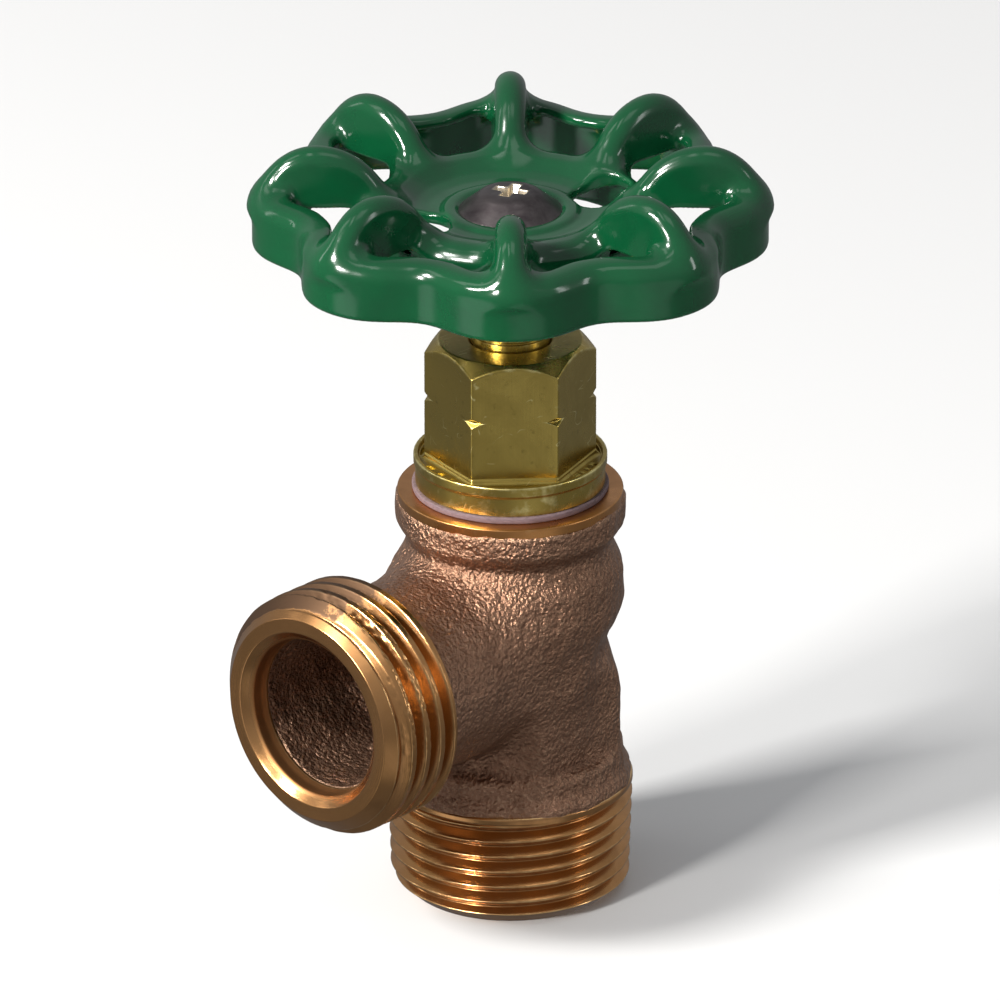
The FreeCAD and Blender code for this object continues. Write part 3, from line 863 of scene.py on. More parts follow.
@dataclass
class DarkSteel(Finish):
    """Blackened steel of the wheel screw, with a bare bright recess."""

    name: str = "dark_steel"
    base: tuple = rgb(94, 88, 88)
    dark: tuple = rgb(58, 52, 54)
    worn: tuple = rgb(120, 110, 104)
    bright: tuple = rgb(196, 186, 168)

    def make(self, effects: Effects) -> bpy.types.Material:
        """Build the material; the attribute "bare" marks where the blackening is gone."""
        material, g, shader, place = self.start()
        bare = g.mask("bare")
        cloud = g.use(effects.smudge, Place=place, Scale=260.0)
        wear_and_shade = g.use(effects.wear_and_shade, Place=place, Edge=g.mask("edge"), From=0.6, To=0.95)
        rings = g.use(effects.turning, Pitch=9000.0, Place=g.add(
            "Mapping", {"Vector": place, "Rotation": (0.0, math.pi / 2, 0.0)}).outputs[0])
        colour = g.mix(cloud.outputs["Patch"], self.base, self.dark)
        colour = g.mix(g.times(wear_and_shade.outputs["Worn"], 0.45), colour, self.worn)
        g.put(shader, {"Base Color": g.mix(bare, colour, self.bright), "Metallic": 0.9,
                       "Roughness": g.plus(0.3, g.times(cloud.outputs["Patch"], 0.12))})
        self.bump(g, shader, [(rings.outputs["Height"], 0.12, 0.00004),
                              (cloud.outputs["Fleck"], -0.3, 0.00004)])
        return material


@dataclass
class Fibre(Finish):
    """Pressed vulcanised fibre of the bonnet's gasket."""

    name: str = "fibre"
    low: tuple = rgb(84, 68, 72)
    high: tuple = rgb(120, 100, 104)

    def make(self, effects: Effects) -> bpy.types.Material:
        """Build the material."""
        material, g, shader, place = self.start()
        layers = g.add("Mapping", {"Vector": place, "Scale": (1.0, 1.0, 7.0)}).outputs[0]
        strands = g.noise(layers, 1800.0, 4.0, 0.7)
        g.put(shader, {"Base Color": g.mix(g.ramp(strands, 0.3, 0.7), self.low, self.high),
                       "Roughness": 0.75})
        self.bump(g, shader, [(strands, 0.4, 0.00005)])
        return material


@dataclass
class Rubber(Finish):
    """Moulded black rubber with a faint bloom."""

    name: str = "rubber"
    base: tuple = rgb(30, 30, 31)
    bloom: tuple = rgb(58, 57, 56)

    def make(self, effects: Effects) -> bpy.types.Material:
        """Build the material."""
        material, g, shader, place = self.start()
        bloom = g.use(effects.smudge, Place=place, Scale=300.0)
        g.put(shader, {"Base Color": g.mix(g.times(bloom.outputs["Patch"], 0.4), self.base, self.bloom),
                       "Roughness": 0.6})
        self.bump(g, shader, [(g.noise(place, 2500.0, 3.0), 0.2, 0.00003)])
        return material


# --- Sub-assemblies -----------------------------------------------------------------------------
def dressed(piece: bpy.types.Object, material: bpy.types.Material, body: Body, slot: Slot,
            *nodes: str) -> bpy.types.Object:
    """Finish a piece: its material, the body it rides on and the CAD nodes it stands for."""
    piece.data.materials.clear()
    piece.data.materials.append(material)
    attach(piece, body.value)
    if nodes:
        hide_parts(*nodes)
    LOG.info("%s: %d faces, on %s", piece.name, len(piece.data.polygons), body.value)
    return piece


@dataclass
class Casting:
    """The sand-cast body with its machined threads and collar face."""

    boss_half: float = 10.9
    boss_power: float = 60.0
    boss_low: float = 16.8
    shoulder_z: float = 23.6
    shoulder_r: float = 12.5
    ring_r: float = 12.25
    waist_r: float = 10.4
    waist_z: float = 28.4
    chamber_r: float = 12.3
    neck_r: float = 11.05
    neck_z: float = 41.0
    collar_r: float = 12.35
    collar_z: float = 43.3
    band: float = 0.9
    arm_r: float = 10.7
    arm_end: float = 22.2
    arm_fillet: float = 4.4
    boss_fillet: float = 2.4      # how much tighter the arm's fillet is beside the boss
    passage_r: float = 8.45
    passage_end: float = 12.2
    floor_z: float = 25.9
    seat_z: float = 27.5
    seat_bore_r: float = 5.4
    wall: float = 2.3
    spigot_r: float = 9.9
    inlet_top: float = 12.55      # where the machined inlet's ring ends inside the casting
    hollow_fade: float = 0.4
    face_hole_r: float = 9.05
    face_r: float = 12.21
    face_depth: float = 1.1
    step: float = 0.36

    def outside(self, x: Array, y: Array, z: Array) -> Array:
        """The skin: a turned core, a wrench boss and the outlet's arm, melted into each other.

        The core is radius less its height's radius; the boss is a high power mean of three flat
        distances, which rounds its corners; the arm is the distance to the outlet's axis.
        """
        rho = np.hypot(x, y)
        core = rho - eased(z, [(20, self.waist_r), (self.waist_z, self.waist_r), (34.4, self.chamber_r),
                               (37.0, self.chamber_r), (self.neck_z, self.neck_r),
                               (self.collar_z, self.collar_r), (60, self.collar_r)])
        core = smooth_max(core, z - (PLACES.collar_top - self.band), 0.5)
        core = smooth_max(core, 19 - z, 1.0)
        flats = [np.abs(x * math.cos(a) + y * math.sin(a)) for a in (0.0, math.pi / 3, -math.pi / 3)]
        most = np.maximum(np.maximum(flats[0], flats[1]), flats[2]) + 1e-9
        boss = most * sum((f / most) ** self.boss_power for f in flats) ** (1 / self.boss_power)
        up = np.clip((z - self.shoulder_z) / (self.waist_z - self.shoulder_z), 0, 1.3)
        slope = rho - (self.shoulder_r - (self.shoulder_r - self.waist_r) * up ** 1.35)
        boss = smooth_max(smooth_max(boss - self.boss_half, slope, 0.7), self.boss_low - 2 - z, 0.5)
        boss = smooth_max(boss, z - self.waist_z - 1, 0.5)
        ring = rho - eased(z, [(12, 13.15), (13.3, 13.2), (15.3, self.ring_r + 0.1), (17, self.ring_r)])
        ring = smooth_max(smooth_max(ring, z - self.boss_low, 0.9), 12.5 - z, 0.1)
        arm = np.hypot(x, z - PLACES.outlet_axis_z)
        arm = smooth_max(smooth_max(arm - self.arm_r, -y - self.arm_end, 0.5), y, 2.0)
        shape = smooth_min(smooth_min(core, boss, 0.7), ring, 0.9)
        fillet = self.arm_fillet - self.boss_fillet * (1 - np.clip((z - 23) / 7, 0, 1))
        shape = smooth_min(shape, arm, fillet)
        shape = shape + 0.07 * ripple(x, y, z, 8.5, 3) + 0.03 * ripple(x, y, z, 2.4, 4)
        spigot = np.hypot(x, z - PLACES.outlet_axis_z) - self.spigot_r
        spigot = np.maximum(np.maximum(spigot, -y - (PLACES.outlet_reach - PLACES.machined)), y)
        return np.minimum(shape, spigot)

    def inside(self, x: Array, y: Array, z: Array) -> Array:
        """The hollow: the inlet's bore, the seat, the chamber, the bonnet's bore and the passage."""
        rho = np.hypot(x, y)
        rough = 0.07 * ripple(x, y, z, 5.2, 5) + 0.03 * ripple(x, y, z, 1.9, 6)
        cone_top = 20 + PLACES.inlet_bore_r - self.seat_bore_r
        bore = rho - np.interp(z, [20, cone_top], [PLACES.inlet_bore_r + 0.03, self.seat_bore_r])
        bore = np.maximum(bore, z - self.seat_z - 1)
        room = rho - eased(z, [(20, self.waist_r - self.wall), (self.waist_z, self.waist_r - self.wall),
                               (35, self.chamber_r - self.wall - 0.3), (39.6, self.neck_r - self.wall),
                               (60, self.neck_r - self.wall)])
        room = smooth_max(room, self.floor_z - z, 1.2)
        seat = smooth_max(smooth_max(rho - self.seat_bore_r - 1.3, z - self.seat_z, 0.3),
                          self.seat_bore_r - rho, 0.2)
        room = smooth_max(room + rough, -seat, 0.5)
        collar = np.maximum(rho - 9.12, 39.6 - z)
        low = np.hypot(x, z - PLACES.outlet_axis_z) - self.passage_r
        high = smooth_max(smooth_max(low, y, 0.5), self.floor_z - z, 1.2)
        high = smooth_max(high, -seat, 0.5)
        passage = smooth_min(smooth_max(low, y + self.passage_end, 6.0), high, 1.2) + rough
        return np.minimum(np.minimum(bore, collar), smooth_min(room, passage, 1.5))

    def shape(self, x: Array, y: Array, z: Array) -> Array:
        """The skin less the hollow, and less the room that the machined inlet takes."""
        solid = smooth_max(self.outside(x, y, z), -self.inside(x, y, z), 0.25)
        return np.maximum(solid, self.inlet_top - z)

    def in_hollow(self, x: Array, y: Array, z: Array) -> Array:
        """1 on the walls of the hollow, and 0 on the skin."""
        return np.clip(1 - self.inside(x, y, z) / self.hollow_fade, 0, 1)

    def build(self, finishes: "Finishes") -> None:
        """Make the casting and its three machined surfaces."""
        reach = PLACES.outlet_reach - PLACES.machined
        solid = Implicit(self.shape, (-13.6, -reach - 0.3, 12.4), (13.6, 13.6, PLACES.collar_top), self.step)
        piece = solid.build("body_casting", hollow=self.in_hollow)
        dressed(piece, finishes.cast_bronze, Body.VALVE, Slot.CAST_BRONZE, "body")
        InletThread().build(finishes)
        OutletThread().build(finishes)
        hole, low, top = self.face_hole_r, PLACES.collar_top - self.face_depth, PLACES.collar_top
        ring = profile([(hole, low, 0), (self.face_r, low, 0.1), (self.face_r, top, 0.16),
                        (hole + 0.25, top, 0.1), (hole, top - 0.3, 0.1), (hole, top - 1.0, 0)], 0.2)
        face = turned_object("collar_face", *stacked(160, ring))
        dressed(face, finishes.collar_bronze, Body.VALVE, Slot.CAST_BRONZE)


@dataclass
class InletThread:
    """The tapered pipe thread, its lead-in, its bore and the plain ring above it."""

    pitch: float = 25.4 / 14
    taper: float = 1 / 32
    height: float = 0.6 * 25.4 / 14
    length: float = 13.05
    land_low: float = 12.35
    lead_r: float = 11.15
    columns: int = 288
    rows: int = 175

    def build(self, finishes: "Finishes") -> None:
        """A cylinder's radius rises and falls as the thread's wave of height less turn."""
        turn = np.arange(self.columns)[None, :] / self.columns
        z = column(0.0, self.length, self.rows)
        crest = PLACES.inlet_thread_r - self.taper * np.maximum(self.land_low - z, 0)
        wave = thread_wave(z / self.pitch - turn + 0.2, 0.09, 0.05)
        x, y = np.cos(2 * np.pi * turn) * 13, np.sin(2 * np.pi * turn) * 13
        torn = 0.006 * ripple(x + 0 * z, y + 0 * z, z + 0 * x, 0.9, 11) * (wave > 0.9)
        side = crest - self.height * (1 - wave) + torn
        side = np.maximum(side, np.minimum(crest, crest + (z - self.land_low) * 3))
        side = np.minimum(side, self.lead_r + 1.15 * z)
        side = np.minimum(side, PLACES.inlet_thread_r - np.maximum(z - self.length + 0.2, 0) * 0.7)
        bore = PLACES.inlet_bore_r
        radius, height = stacked(
            self.columns, profile([(bore, 0.35, 0), (bore + 0.35, 0, 0.1), (self.lead_r - 0.05, 0, 0)]),
            (side, z), profile([(11.4, self.length, 0), (11.0, self.length - 0.3, 0),
                                (bore, self.length - 0.3, 0), (bore, 0.5, 0)], 0.6))
        piece = turned_object("inlet_thread", radius, height)
        dressed(piece, finishes.inlet_bronze, Body.VALVE, Slot.CAST_BRONZE)


@dataclass
class OutletThread:
    """The hose thread round the outlet, with its chamfered mouth and short machined bore."""

    pitch: float = 25.4 / 11.5
    height: float = 0.63 * 25.4 / 11.5
    start: float = 21.6
    face_r: float = 11.34
    inner_r: float = 9.85
    lip: float = 1.0
    passage_r: float = 8.5
    crest_at: float = 29.75
    torn_from: float = 26.3
    torn_to: float = 30.4
    torn_turn: float = 0.9
    stain_turn: float = math.radians(118)
    stain_half: float = math.radians(58)
    columns: int = 300
    rows: int = 150

    def build(self, finishes: "Finishes") -> None:
        """Made about +Z like the inlet's thread, torn on its first flank, then laid along the outlet.

        Its "bore" mask is 1 inside the mouth, where the wall is painted darker as shade, and its "stain" mask
        where oxide lies over the crests.
        """
        reach, crest = PLACES.outlet_reach, PLACES.outlet_thread_r
        turn = np.arange(self.columns)[None, :] / self.columns
        z = column(self.start, reach, self.rows)
        wave = thread_wave((z - self.crest_at) / self.pitch - turn + 0.1, 0.3, 0.08)
        around = np.cos(2 * np.pi * turn), np.sin(2 * np.pi * turn)
        x, y = around[0] * crest + 0 * z, around[1] * crest + 0 * z
        burr = np.clip(ripple(x, y, z + 0 * x, 0.62, 21) - 0.35, 0, 1.2)
        where = np.clip(np.cos(2 * np.pi * turn - self.torn_turn) * 1.6 - 0.55, 0, 1)
        where = where * (z > self.torn_from) * (z < self.torn_to)
        torn = -0.1 * burr * where * (wave > 0.35) - 0.015 * burr * (wave > 0.9)
        side = crest - self.height * (1 - wave) + torn
        side = np.minimum(side, 10.6 + np.maximum(z - 21.75, 0) * 2.6)
        side = np.minimum(side, self.face_r + (reach - z) * 1.0)
        bore = PLACES.outlet_bore_r
        back = reach - PLACES.machined
        radius, height = stacked(
            self.columns, (column(9.6, 10.4, 3), self.start), (side, z),
            profile([(self.face_r - 0.02, reach, 0), (self.inner_r, reach, 0.06),
                     (bore + 0.05, reach - self.lip, 0.15), (bore, back + 0.9, 0.2),
                     (self.passage_r, back, 0), (9.6, back, 0), (9.6, self.start + 0.4, 0)], 0.3))
        piece = turned_object("outlet_thread", radius, height)
        inside = np.clip((self.inner_r - 0.7 - radius) * 4, 0, 1) * (height < reach - 0.6)
        set_mask(piece, "bore", inside.reshape(-1))
        around_top = np.cos(2 * np.pi * turn - self.stain_turn) - math.cos(self.stain_half)
        stained = np.clip(around_top * 2.2, 0, 1) * np.clip((radius - 11.9) * 1.6, 0, 1)
        set_mask(piece, "stain", stained.reshape(-1))
        turn_to_outlet(piece)
        dressed(piece, finishes.outlet_bronze, Body.VALVE, Slot.CAST_BRONZE)


@dataclass
class Bonnet:
    """The turned hexagon bar that closes the body and guides the stem, with its fibre gasket."""

    across: float = 16.1
    corner: float = 0.25
    flat_azimuth: float = 46.1
    sleeve_r: float = 8.45
    thread_depth: float = 0.55
    pitch: float = 1.27
    flange_r: float = 10.25
    rim_r: float = 10.45
    flange_height: float = 3.4
    chamfer_r: float = 7.75
    nick_r: float = 8.7
    neck_bore_r: float = 4.35
    thread_bore_r: float = 5.55
    dish: float = 0.55
    dish_r: float = 9.85

    def build(self, finishes: "Finishes") -> None:
        """Rows climb the sleeve, the flange and the flats; where a cone cuts the flats, they follow it."""
        first = math.radians(self.flat_azimuth - 90)
        angles = bar_angles(6, self.across, self.corner, first, 24, 6)
        columns = len(angles)
        flats = bar_radius(angles, 6, self.across, self.corner, first)[None, :]
        low, base, top = PLACES.bonnet_foot, PLACES.gasket_top, PLACES.hex_top
        rim = base + self.flange_height
        floor = rim - self.dish
        z = column(low, PLACES.collar_top, 90)
        fade = np.clip(np.minimum(z - low, PLACES.collar_top - z) * 1.6, 0, 1)
        sleeve = self.sleeve_r + self.thread_depth * fade * thread_wave(z / self.pitch - angles / (2 * np.pi))
        foot = np.minimum(0.45, (self.dish_r - flats) * 0.9)
        bend = np.radians(column(0, 90, 7))
        middle = rim + (top - rim) / 2
        nick = np.maximum(flats - self.nick_r, 0.03)
        heights = middle + nick * column(-1, 1, 9)
        edge_z = top - (flats - self.chamfer_r)
        side_low = floor + 0.5 + (middle - nick - floor - 0.5) * column(0, 0.995, 22)
        side_high = middle + nick + (edge_z - 0.07 - middle - nick) * column(0.005, 1, 22)
        slope = column(0, 1, 8)
        radius, height = stacked(
            columns, profile([(self.thread_bore_r, low, 0), (self.sleeve_r, low, 0)]), (sleeve, z),
            profile([(self.sleeve_r, base - 0.5, 0), (self.sleeve_r, base, 0), (self.flange_r, base, 0.12),
                     (self.flange_r, rim - 1.3, 0.1), (self.rim_r, rim - 1.05, 0.1), (self.rim_r, rim, 0.2),
                     (self.dish_r + 0.13, rim, 0.14), (self.dish_r, floor, 0.1),
                     (self.dish_r - 0.05, floor, 0)], 0.14),
            (flats + foot * (1 - np.sin(bend)), floor + 0.5 * (1 - np.cos(bend))),
            (flats, side_low), (np.minimum(flats, self.nick_r + np.abs(heights - middle)), heights),
            (flats, side_high), (flats - 0.03, edge_z + 0.01),
            (flats - 0.07 + (self.chamfer_r + 0.08 - flats + 0.07) * slope,
             edge_z + 0.07 + (top - 0.08 - edge_z - 0.07) * slope),
            profile([(self.chamfer_r + 0.03, top - 0.04, 0), (self.chamfer_r - 0.1, top, 0.04),
                     (self.neck_bore_r + 0.25, top, 0.05), (self.neck_bore_r, top - 0.25, 0.05),
                     (self.neck_bore_r, PLACES.bore_step, 0.05), (self.thread_bore_r, PLACES.bore_step, 0.05),
                     (self.thread_bore_r, low + 0.4, 0)], 0.35))
        piece = turned_object("bonnet_hexagon", radius, height, angles=angles)
        flat = (height > floor + 0.6) & (height < edge_z - 0.05) & (radius >= flats - 0.01)
        set_mask(piece, "flat", flat.reshape(-1))
        dressed(piece, finishes.bonnet_brass, Body.VALVE, Slot.BONNET_BRASS, "bonnet")
        Gasket().build(finishes)


@dataclass
class Gasket:
    """The pressed fibre ring under the bonnet's flange."""

    hole_r: float = 9.08
    rounding: float = 0.16
    columns: int = 200

    def build(self, finishes: "Finishes") -> None:
        """A rounded rectangle turned about +Z, squeezed out a little unevenly."""
        low, high, r = PLACES.collar_top, PLACES.gasket_top, PLACES.gasket_r
        cut = self.rounding
        outline = profile([(self.hole_r, low, 0), (r - 0.02, low, cut), (r, (low + high) / 2, 0.1),
                           (r - 0.02, high, cut), (self.hole_r, high, 0.05),
                           (self.hole_r, low + 0.1, 0)], 0.12)
        turn = 2 * np.pi * np.arange(self.columns)[None, :] / self.columns
        squeeze = 0.045 * (ripple(np.cos(turn) * 10, np.sin(turn) * 10, 0 * turn, 5, 31) - 2)
        radius = outline[0] + squeeze * (outline[0] > 10.2) * 0.5
        piece = turned_object("bonnet_gasket_ring", *stacked(self.columns, (radius, outline[1])))
        dressed(piece, finishes.fibre, Body.VALVE, Slot.FIBRE, "bonnet_gasket")


@dataclass
class Stem:
    """The turned stem with its drive thread, seal grooves and square end."""

    foot_r: float = 3.9
    thread_r: float = 5.5
    thread_depth: float = 1.05
    lead: float = 2.54
    thread_low: float = 39.74
    thread_high: float = 47.74
    neck_r: float = 4.3
    shaft_r: float = 3.7
    groove_r: float = 2.72
    groove_half: float = 0.85
    square: float = 5.4
    square_corner: float = 0.3
    stud_bore_r: float = 2.05
    stud_depth: float = 4.1
    screw_bore_r: float = 2.4
    screw_depth: float = 8.8
    neck_above: float = 1.3

    def build(self, finishes: "Finishes") -> None:
        """Turned rows with the thread's wave in the middle, and four flats at the top."""
        foot, top = (corner[2] for corner in node_box("stem"))
        seat = top + 0.2 - PLACES.sheet
        neck_top = PLACES.hex_top + self.neck_above
        turn = PLACES.wheel_turn
        angles = bar_angles(4, self.square, self.square_corner, turn, 22, 4)
        columns = len(angles)
        flats = bar_radius(angles, 4, self.square, self.square_corner, turn)[None, :]
        z = column(self.thread_low, self.thread_high, 90)
        fade = np.clip(np.minimum(z - self.thread_low, self.thread_high - z) * 1.5, 0, 1)
        root = self.thread_r - self.thread_depth
        drive = root + self.thread_depth * fade * thread_wave(z / self.lead - angles / (2 * np.pi), 0.3, 0.3)
        grooves = []
        for name in ("o_ring_lower", "o_ring_upper"):
            ring_z = sum(corner[2] for corner in node_box(name)) / 2
            grooves += [(self.neck_r, ring_z - self.groove_half, 0.06),
                        (self.groove_r, ring_z - self.groove_half, 0.1),
                        (self.groove_r, ring_z + self.groove_half, 0.1),
                        (self.neck_r, ring_z + self.groove_half, 0.06)]
        radius, height = stacked(
            columns, profile([(0, foot + self.stud_depth, 0), (self.stud_bore_r, foot + self.stud_depth, 0.1),
                              (self.stud_bore_r, foot, 0.1), (self.foot_r, foot, 0.2),
                              (self.foot_r, self.thread_low - 0.6, 0.1), (root, self.thread_low, 0)], 0.5),
            (drive, z),
            profile([(root, self.thread_high, 0), (self.neck_r, self.thread_high + 0.05, 0.02)] + grooves
                    + [(self.neck_r, neck_top - 0.55, 0.04),
                       (self.neck_r - 0.22, neck_top - 0.5, 0.04),
                       (self.neck_r - 0.22, neck_top - 0.3, 0.04),
                       (self.neck_r - 0.04, neck_top - 0.25, 0.04),
                       (self.neck_r - 0.04, neck_top, 0.12), (self.shaft_r, neck_top, 0.12),
                       (self.shaft_r, seat, 0.1), (self.square / 2 + 0.9, seat, 0)], 0.3),
            (flats, column(seat, top, 4)),
            profile([(2.6, top, 0), (self.screw_bore_r, top, 0.05),
                     (self.screw_bore_r, top - self.screw_depth, 0.1), (0, top - self.screw_depth, 0)], 0.5))
        piece = turned_object("stem_turned", radius, height, closed=False, angles=angles)
        dressed(piece, finishes.stem_brass, Body.SPINDLE, Slot.STEM_BRASS, "stem")


@dataclass
class Handwheel:
    """The pressed and enamelled wheel: hub, web, wavy band and eight hollow ridges."""

    lobes: int = 8
    mean_r: float = 26.3
    wave: float = 1.55
    second_wave: float = 0.2
    band_height: float = 6.6
    band_roll: float = 1.35
    lip: float = 2.0
    web_r: float = 15.5
    web_rise: float = 1.4
    skirt: float = 5.4
    ring_r: float = 6.5
    ridge_r: float = 8.0
    ridge_centre_r: float = 20.74
    ridge_half: float = 1.6
    ridge_flare: float = 0.09     # how much wider each flank gets per millimetre below the crest
    ridge_drop: float = 8.0       # from the ridge's top down to its arc's centre
    hollow_half: float = 0.72
    hole_r: float = 3.2
    hole_at: float = 10.4
    square: float = 5.5
    step: float = 0.33

    def shape(self, x: Array, y: Array, z: Array) -> Array:
        """Sheets of one thickness about lines in the (radius, height) plane, with ridges melted in.

        The band's line sits at the wavy outline, the web's at fixed radii. A ridge is the space
        within an arc and two flanks, rounded over the top and carved hollow from below.
        """
        low, top = PLACES.wheel_low, PLACES.wheel_high
        half = PLACES.sheet / 2
        hub = PLACES.hub_top - half
        band_top = low + self.band_height
        rho, angle = np.hypot(x, y), np.arctan2(y, x) - PLACES.wheel_turn
        wavy = self.mean_r + self.wave * np.cos(self.lobes * angle) \
            - self.second_wave * np.cos(2 * self.lobes * angle)
        tilt = (-self.lobes * self.wave * np.sin(self.lobes * angle)
                + 2 * self.lobes * self.second_wave * np.sin(2 * self.lobes * angle)) / wavy
        off = (rho - wavy) / np.sqrt(1 + tilt ** 2)
        roll = self.band_roll
        band = path_distance(off, z, [(-half, low + half), (-half, band_top - half - roll)]
                             + arc_points(-half - roll, band_top - half - roll, roll, 15, 90, 5)
                             + [(-self.lip - half, band_top - half)]) - half
        edge = self.web_r - half
        web = path_distance(rho, z, [(2.0, hub), (self.ring_r - 0.8, hub), (self.ring_r - 0.35, hub + 0.35),
                                     (self.ring_r + 0.35, hub + 0.35), (self.ring_r + 0.8, hub), (9.0, hub),
                                     (10.6, hub + 0.35), (12.4, hub + self.web_rise - 0.08)]
                            + arc_points(edge - 1.5, hub + self.web_rise - 1.5, 1.5, 88, 0, 6)
                            + [(edge, hub + self.web_rise + half - self.skirt + half)]) - half
        sector = 2 * np.pi / self.lobes
        local = (angle + sector / 2) % sector - sector / 2
        u, v = rho * np.cos(local), np.abs(rho * np.sin(local))
        centre_z = top - self.ridge_drop
        outer = (self.mean_r + self.wave - self.second_wave - self.ridge_centre_r) / self.ridge_r
        across = np.where(u > self.ridge_centre_r, (u - self.ridge_centre_r) / outer, u - self.ridge_centre_r)
        arc = np.hypot(across, z - centre_z)
        depth = self.ridge_r - self.ridge_half - arc
        half_width = self.ridge_half + self.ridge_flare * np.maximum(depth, 0)
        ridge = np.hypot(np.maximum(-depth, 0), v) - half_width
        foot = PLACES.hub_top + 1.0
        ridge = smooth_max(ridge, foot - z, 0.35)
        shape = smooth_min(smooth_min(web, ridge, 3.2), smooth_min(band, ridge, 2.6), 0.3)
        inner_over = np.maximum(arc - (self.ridge_r - PLACES.sheet - self.hollow_half), 0)
        hollow = np.hypot(inner_over, v) - self.hollow_half
        hollow = np.maximum(hollow, PLACES.hub_top - 0.4 - z)
        shape = smooth_max(shape, -hollow, 0.35)
        for side in (0, math.pi):
            at = PLACES.wheel_turn + 1.5 * sector + side
            hole = np.hypot(x - self.hole_at * math.cos(at), y - self.hole_at * math.sin(at)) - self.hole_r
            shape = smooth_max(shape, -hole, 0.45)
        c, s = math.cos(PLACES.wheel_turn), math.sin(PLACES.wheel_turn)
        square = np.maximum(np.abs(x * c + y * s), np.abs(y * c - x * s)) - self.square / 2
        return np.maximum(shape, -square)

    def build(self, finishes: "Finishes") -> None:
        """Make the wheel and its screw."""
        reach = self.mean_r + self.wave + 0.2
        solid = Implicit(self.shape, (-reach, -reach, PLACES.wheel_low), (reach, reach, PLACES.wheel_high),
                         self.step)
        dressed(solid.build("handwheel_pressing"), finishes.green_enamel, Body.SPINDLE,
                Slot.GREEN_ENAMEL, "handwheel")
        WheelScrew().build(finishes)


@dataclass
class WheelScrew:
    """The cone-headed screw with a cross recess that holds the wheel."""

    head_height: float = 2.3
    top_r: float = 2.9
    shank_r: float = 2.33
    shank: float = 8.7
    recess_half_span: float = 1.75
    recess_half_width: float = 0.5
    recess_depth: float = 1.4
    bare_fade: float = 0.12
    bare_depth: float = 1.6
    pitch: float = 0.8
    turn: float = 0.35
    step: float = 0.1

    def recess(self, x: Array, y: Array, z: Array) -> Array:
        """Two crossed blades that taper towards their tip, with rounded inner corners."""
        c, s = math.cos(self.turn), math.sin(self.turn)
        a, b = np.abs(x * c + y * s), np.abs(y * c - x * s)
        down = np.clip((PLACES.screw_high - z) / self.recess_depth, -0.3, 1.3)
        span = self.recess_half_span * (1.06 - 0.42 * down)
        width = self.recess_half_width * (1.1 - 0.35 * down)
        blades = smooth_min(smooth_max(a - span, b - width, 0.15), smooth_max(b - span, a - width, 0.15), 0.5)
        return smooth_max(blades, PLACES.screw_high - self.recess_depth + 0.25 * np.hypot(x, y) - z, 0.2)

    def shape(self, x: Array, y: Array, z: Array) -> Array:
        """A cone on a threaded shank, less the recess."""
        rho = np.hypot(x, y)
        up = (z - PLACES.hub_top) / self.head_height
        cone = (rho - (PLACES.screw_r - (PLACES.screw_r - self.top_r) * up)) * 0.64
        head = smooth_max(smooth_max(cone, z - PLACES.screw_high, 0.5), PLACES.hub_top - z, 0.12)
        wave = thread_wave(z / self.pitch - np.arctan2(y, x) / (2 * np.pi), 0.15, 0.15)
        shank = smooth_max(rho - self.shank_r + 0.3 * (1 - wave) * (z < PLACES.hub_top - 0.6),
                           PLACES.hub_top - self.shank - z, 0.3)
        shank = np.maximum(shank, z - PLACES.hub_top - 0.5)
        return smooth_max(np.minimum(head, shank), -self.recess(x, y, z), 0.12)

    def bare(self, x: Array, y: Array, z: Array) -> Array:
        """1 on the recess's walls, where the metal is bare, and 0 elsewhere."""
        near = np.clip(1 - np.abs(self.recess(x, y, z)) / self.bare_fade, 0, 1)
        return near * (z > PLACES.screw_high - self.bare_depth)

    def build(self, finishes: "Finishes") -> None:
        """Make the screw and mark the bare metal of its recess."""
        r, top = PLACES.screw_r, PLACES.screw_high
        solid = Implicit(self.shape, (-r, -r, PLACES.hub_top - self.shank), (r, r, top), self.step)
        piece = solid.build("wheel_screw_cross", bare=self.bare)
        dressed(piece, finishes.dark_steel, Body.SPINDLE, Slot.DARK_STEEL, "wheel_screw")


@dataclass
class Finishes:
    """Every material of the valve, made once."""

    cast_bronze: bpy.types.Material
    inlet_bronze: bpy.types.Material
    collar_bronze: bpy.types.Material
    outlet_bronze: bpy.types.Material
    bonnet_brass: bpy.types.Material
    stem_brass: bpy.types.Material
    fibre: bpy.types.Material
    rubber: bpy.types.Material
    washer_rubber: bpy.types.Material
    green_enamel: bpy.types.Material
    dark_steel: bpy.types.Material

    @classmethod
    def make(cls) -> "Finishes":
        """Build the shared effects and the materials that use them."""
        effects = Effects()
        axis = PLACES.outlet_axis_z * MM
        return cls(
            cast_bronze=CastBronze().make(effects),
            inlet_bronze=TurnedBronze("inlet_bronze").make(effects),
            collar_bronze=TurnedBronze("collar_bronze", base=rgb(206, 146, 88), rough=0.26).make(effects),
            outlet_bronze=TurnedBronze("outlet_bronze", rotation=(0.0, 0.0, math.pi / 2),
                                       location=(0.0, 0.0, -axis)).make(effects),
            bonnet_brass=YellowBrass("bonnet_brass").make(effects),
            stem_brass=YellowBrass("stem_brass", rough=0.26).make(effects),
            fibre=Fibre().make(effects), rubber=Rubber("seal_rubber").make(effects),
            washer_rubber=Rubber("washer_rubber", base=rgb(44, 42, 40)).make(effects),
            green_enamel=GreenEnamel().make(effects), dark_steel=DarkSteel().make(effects))


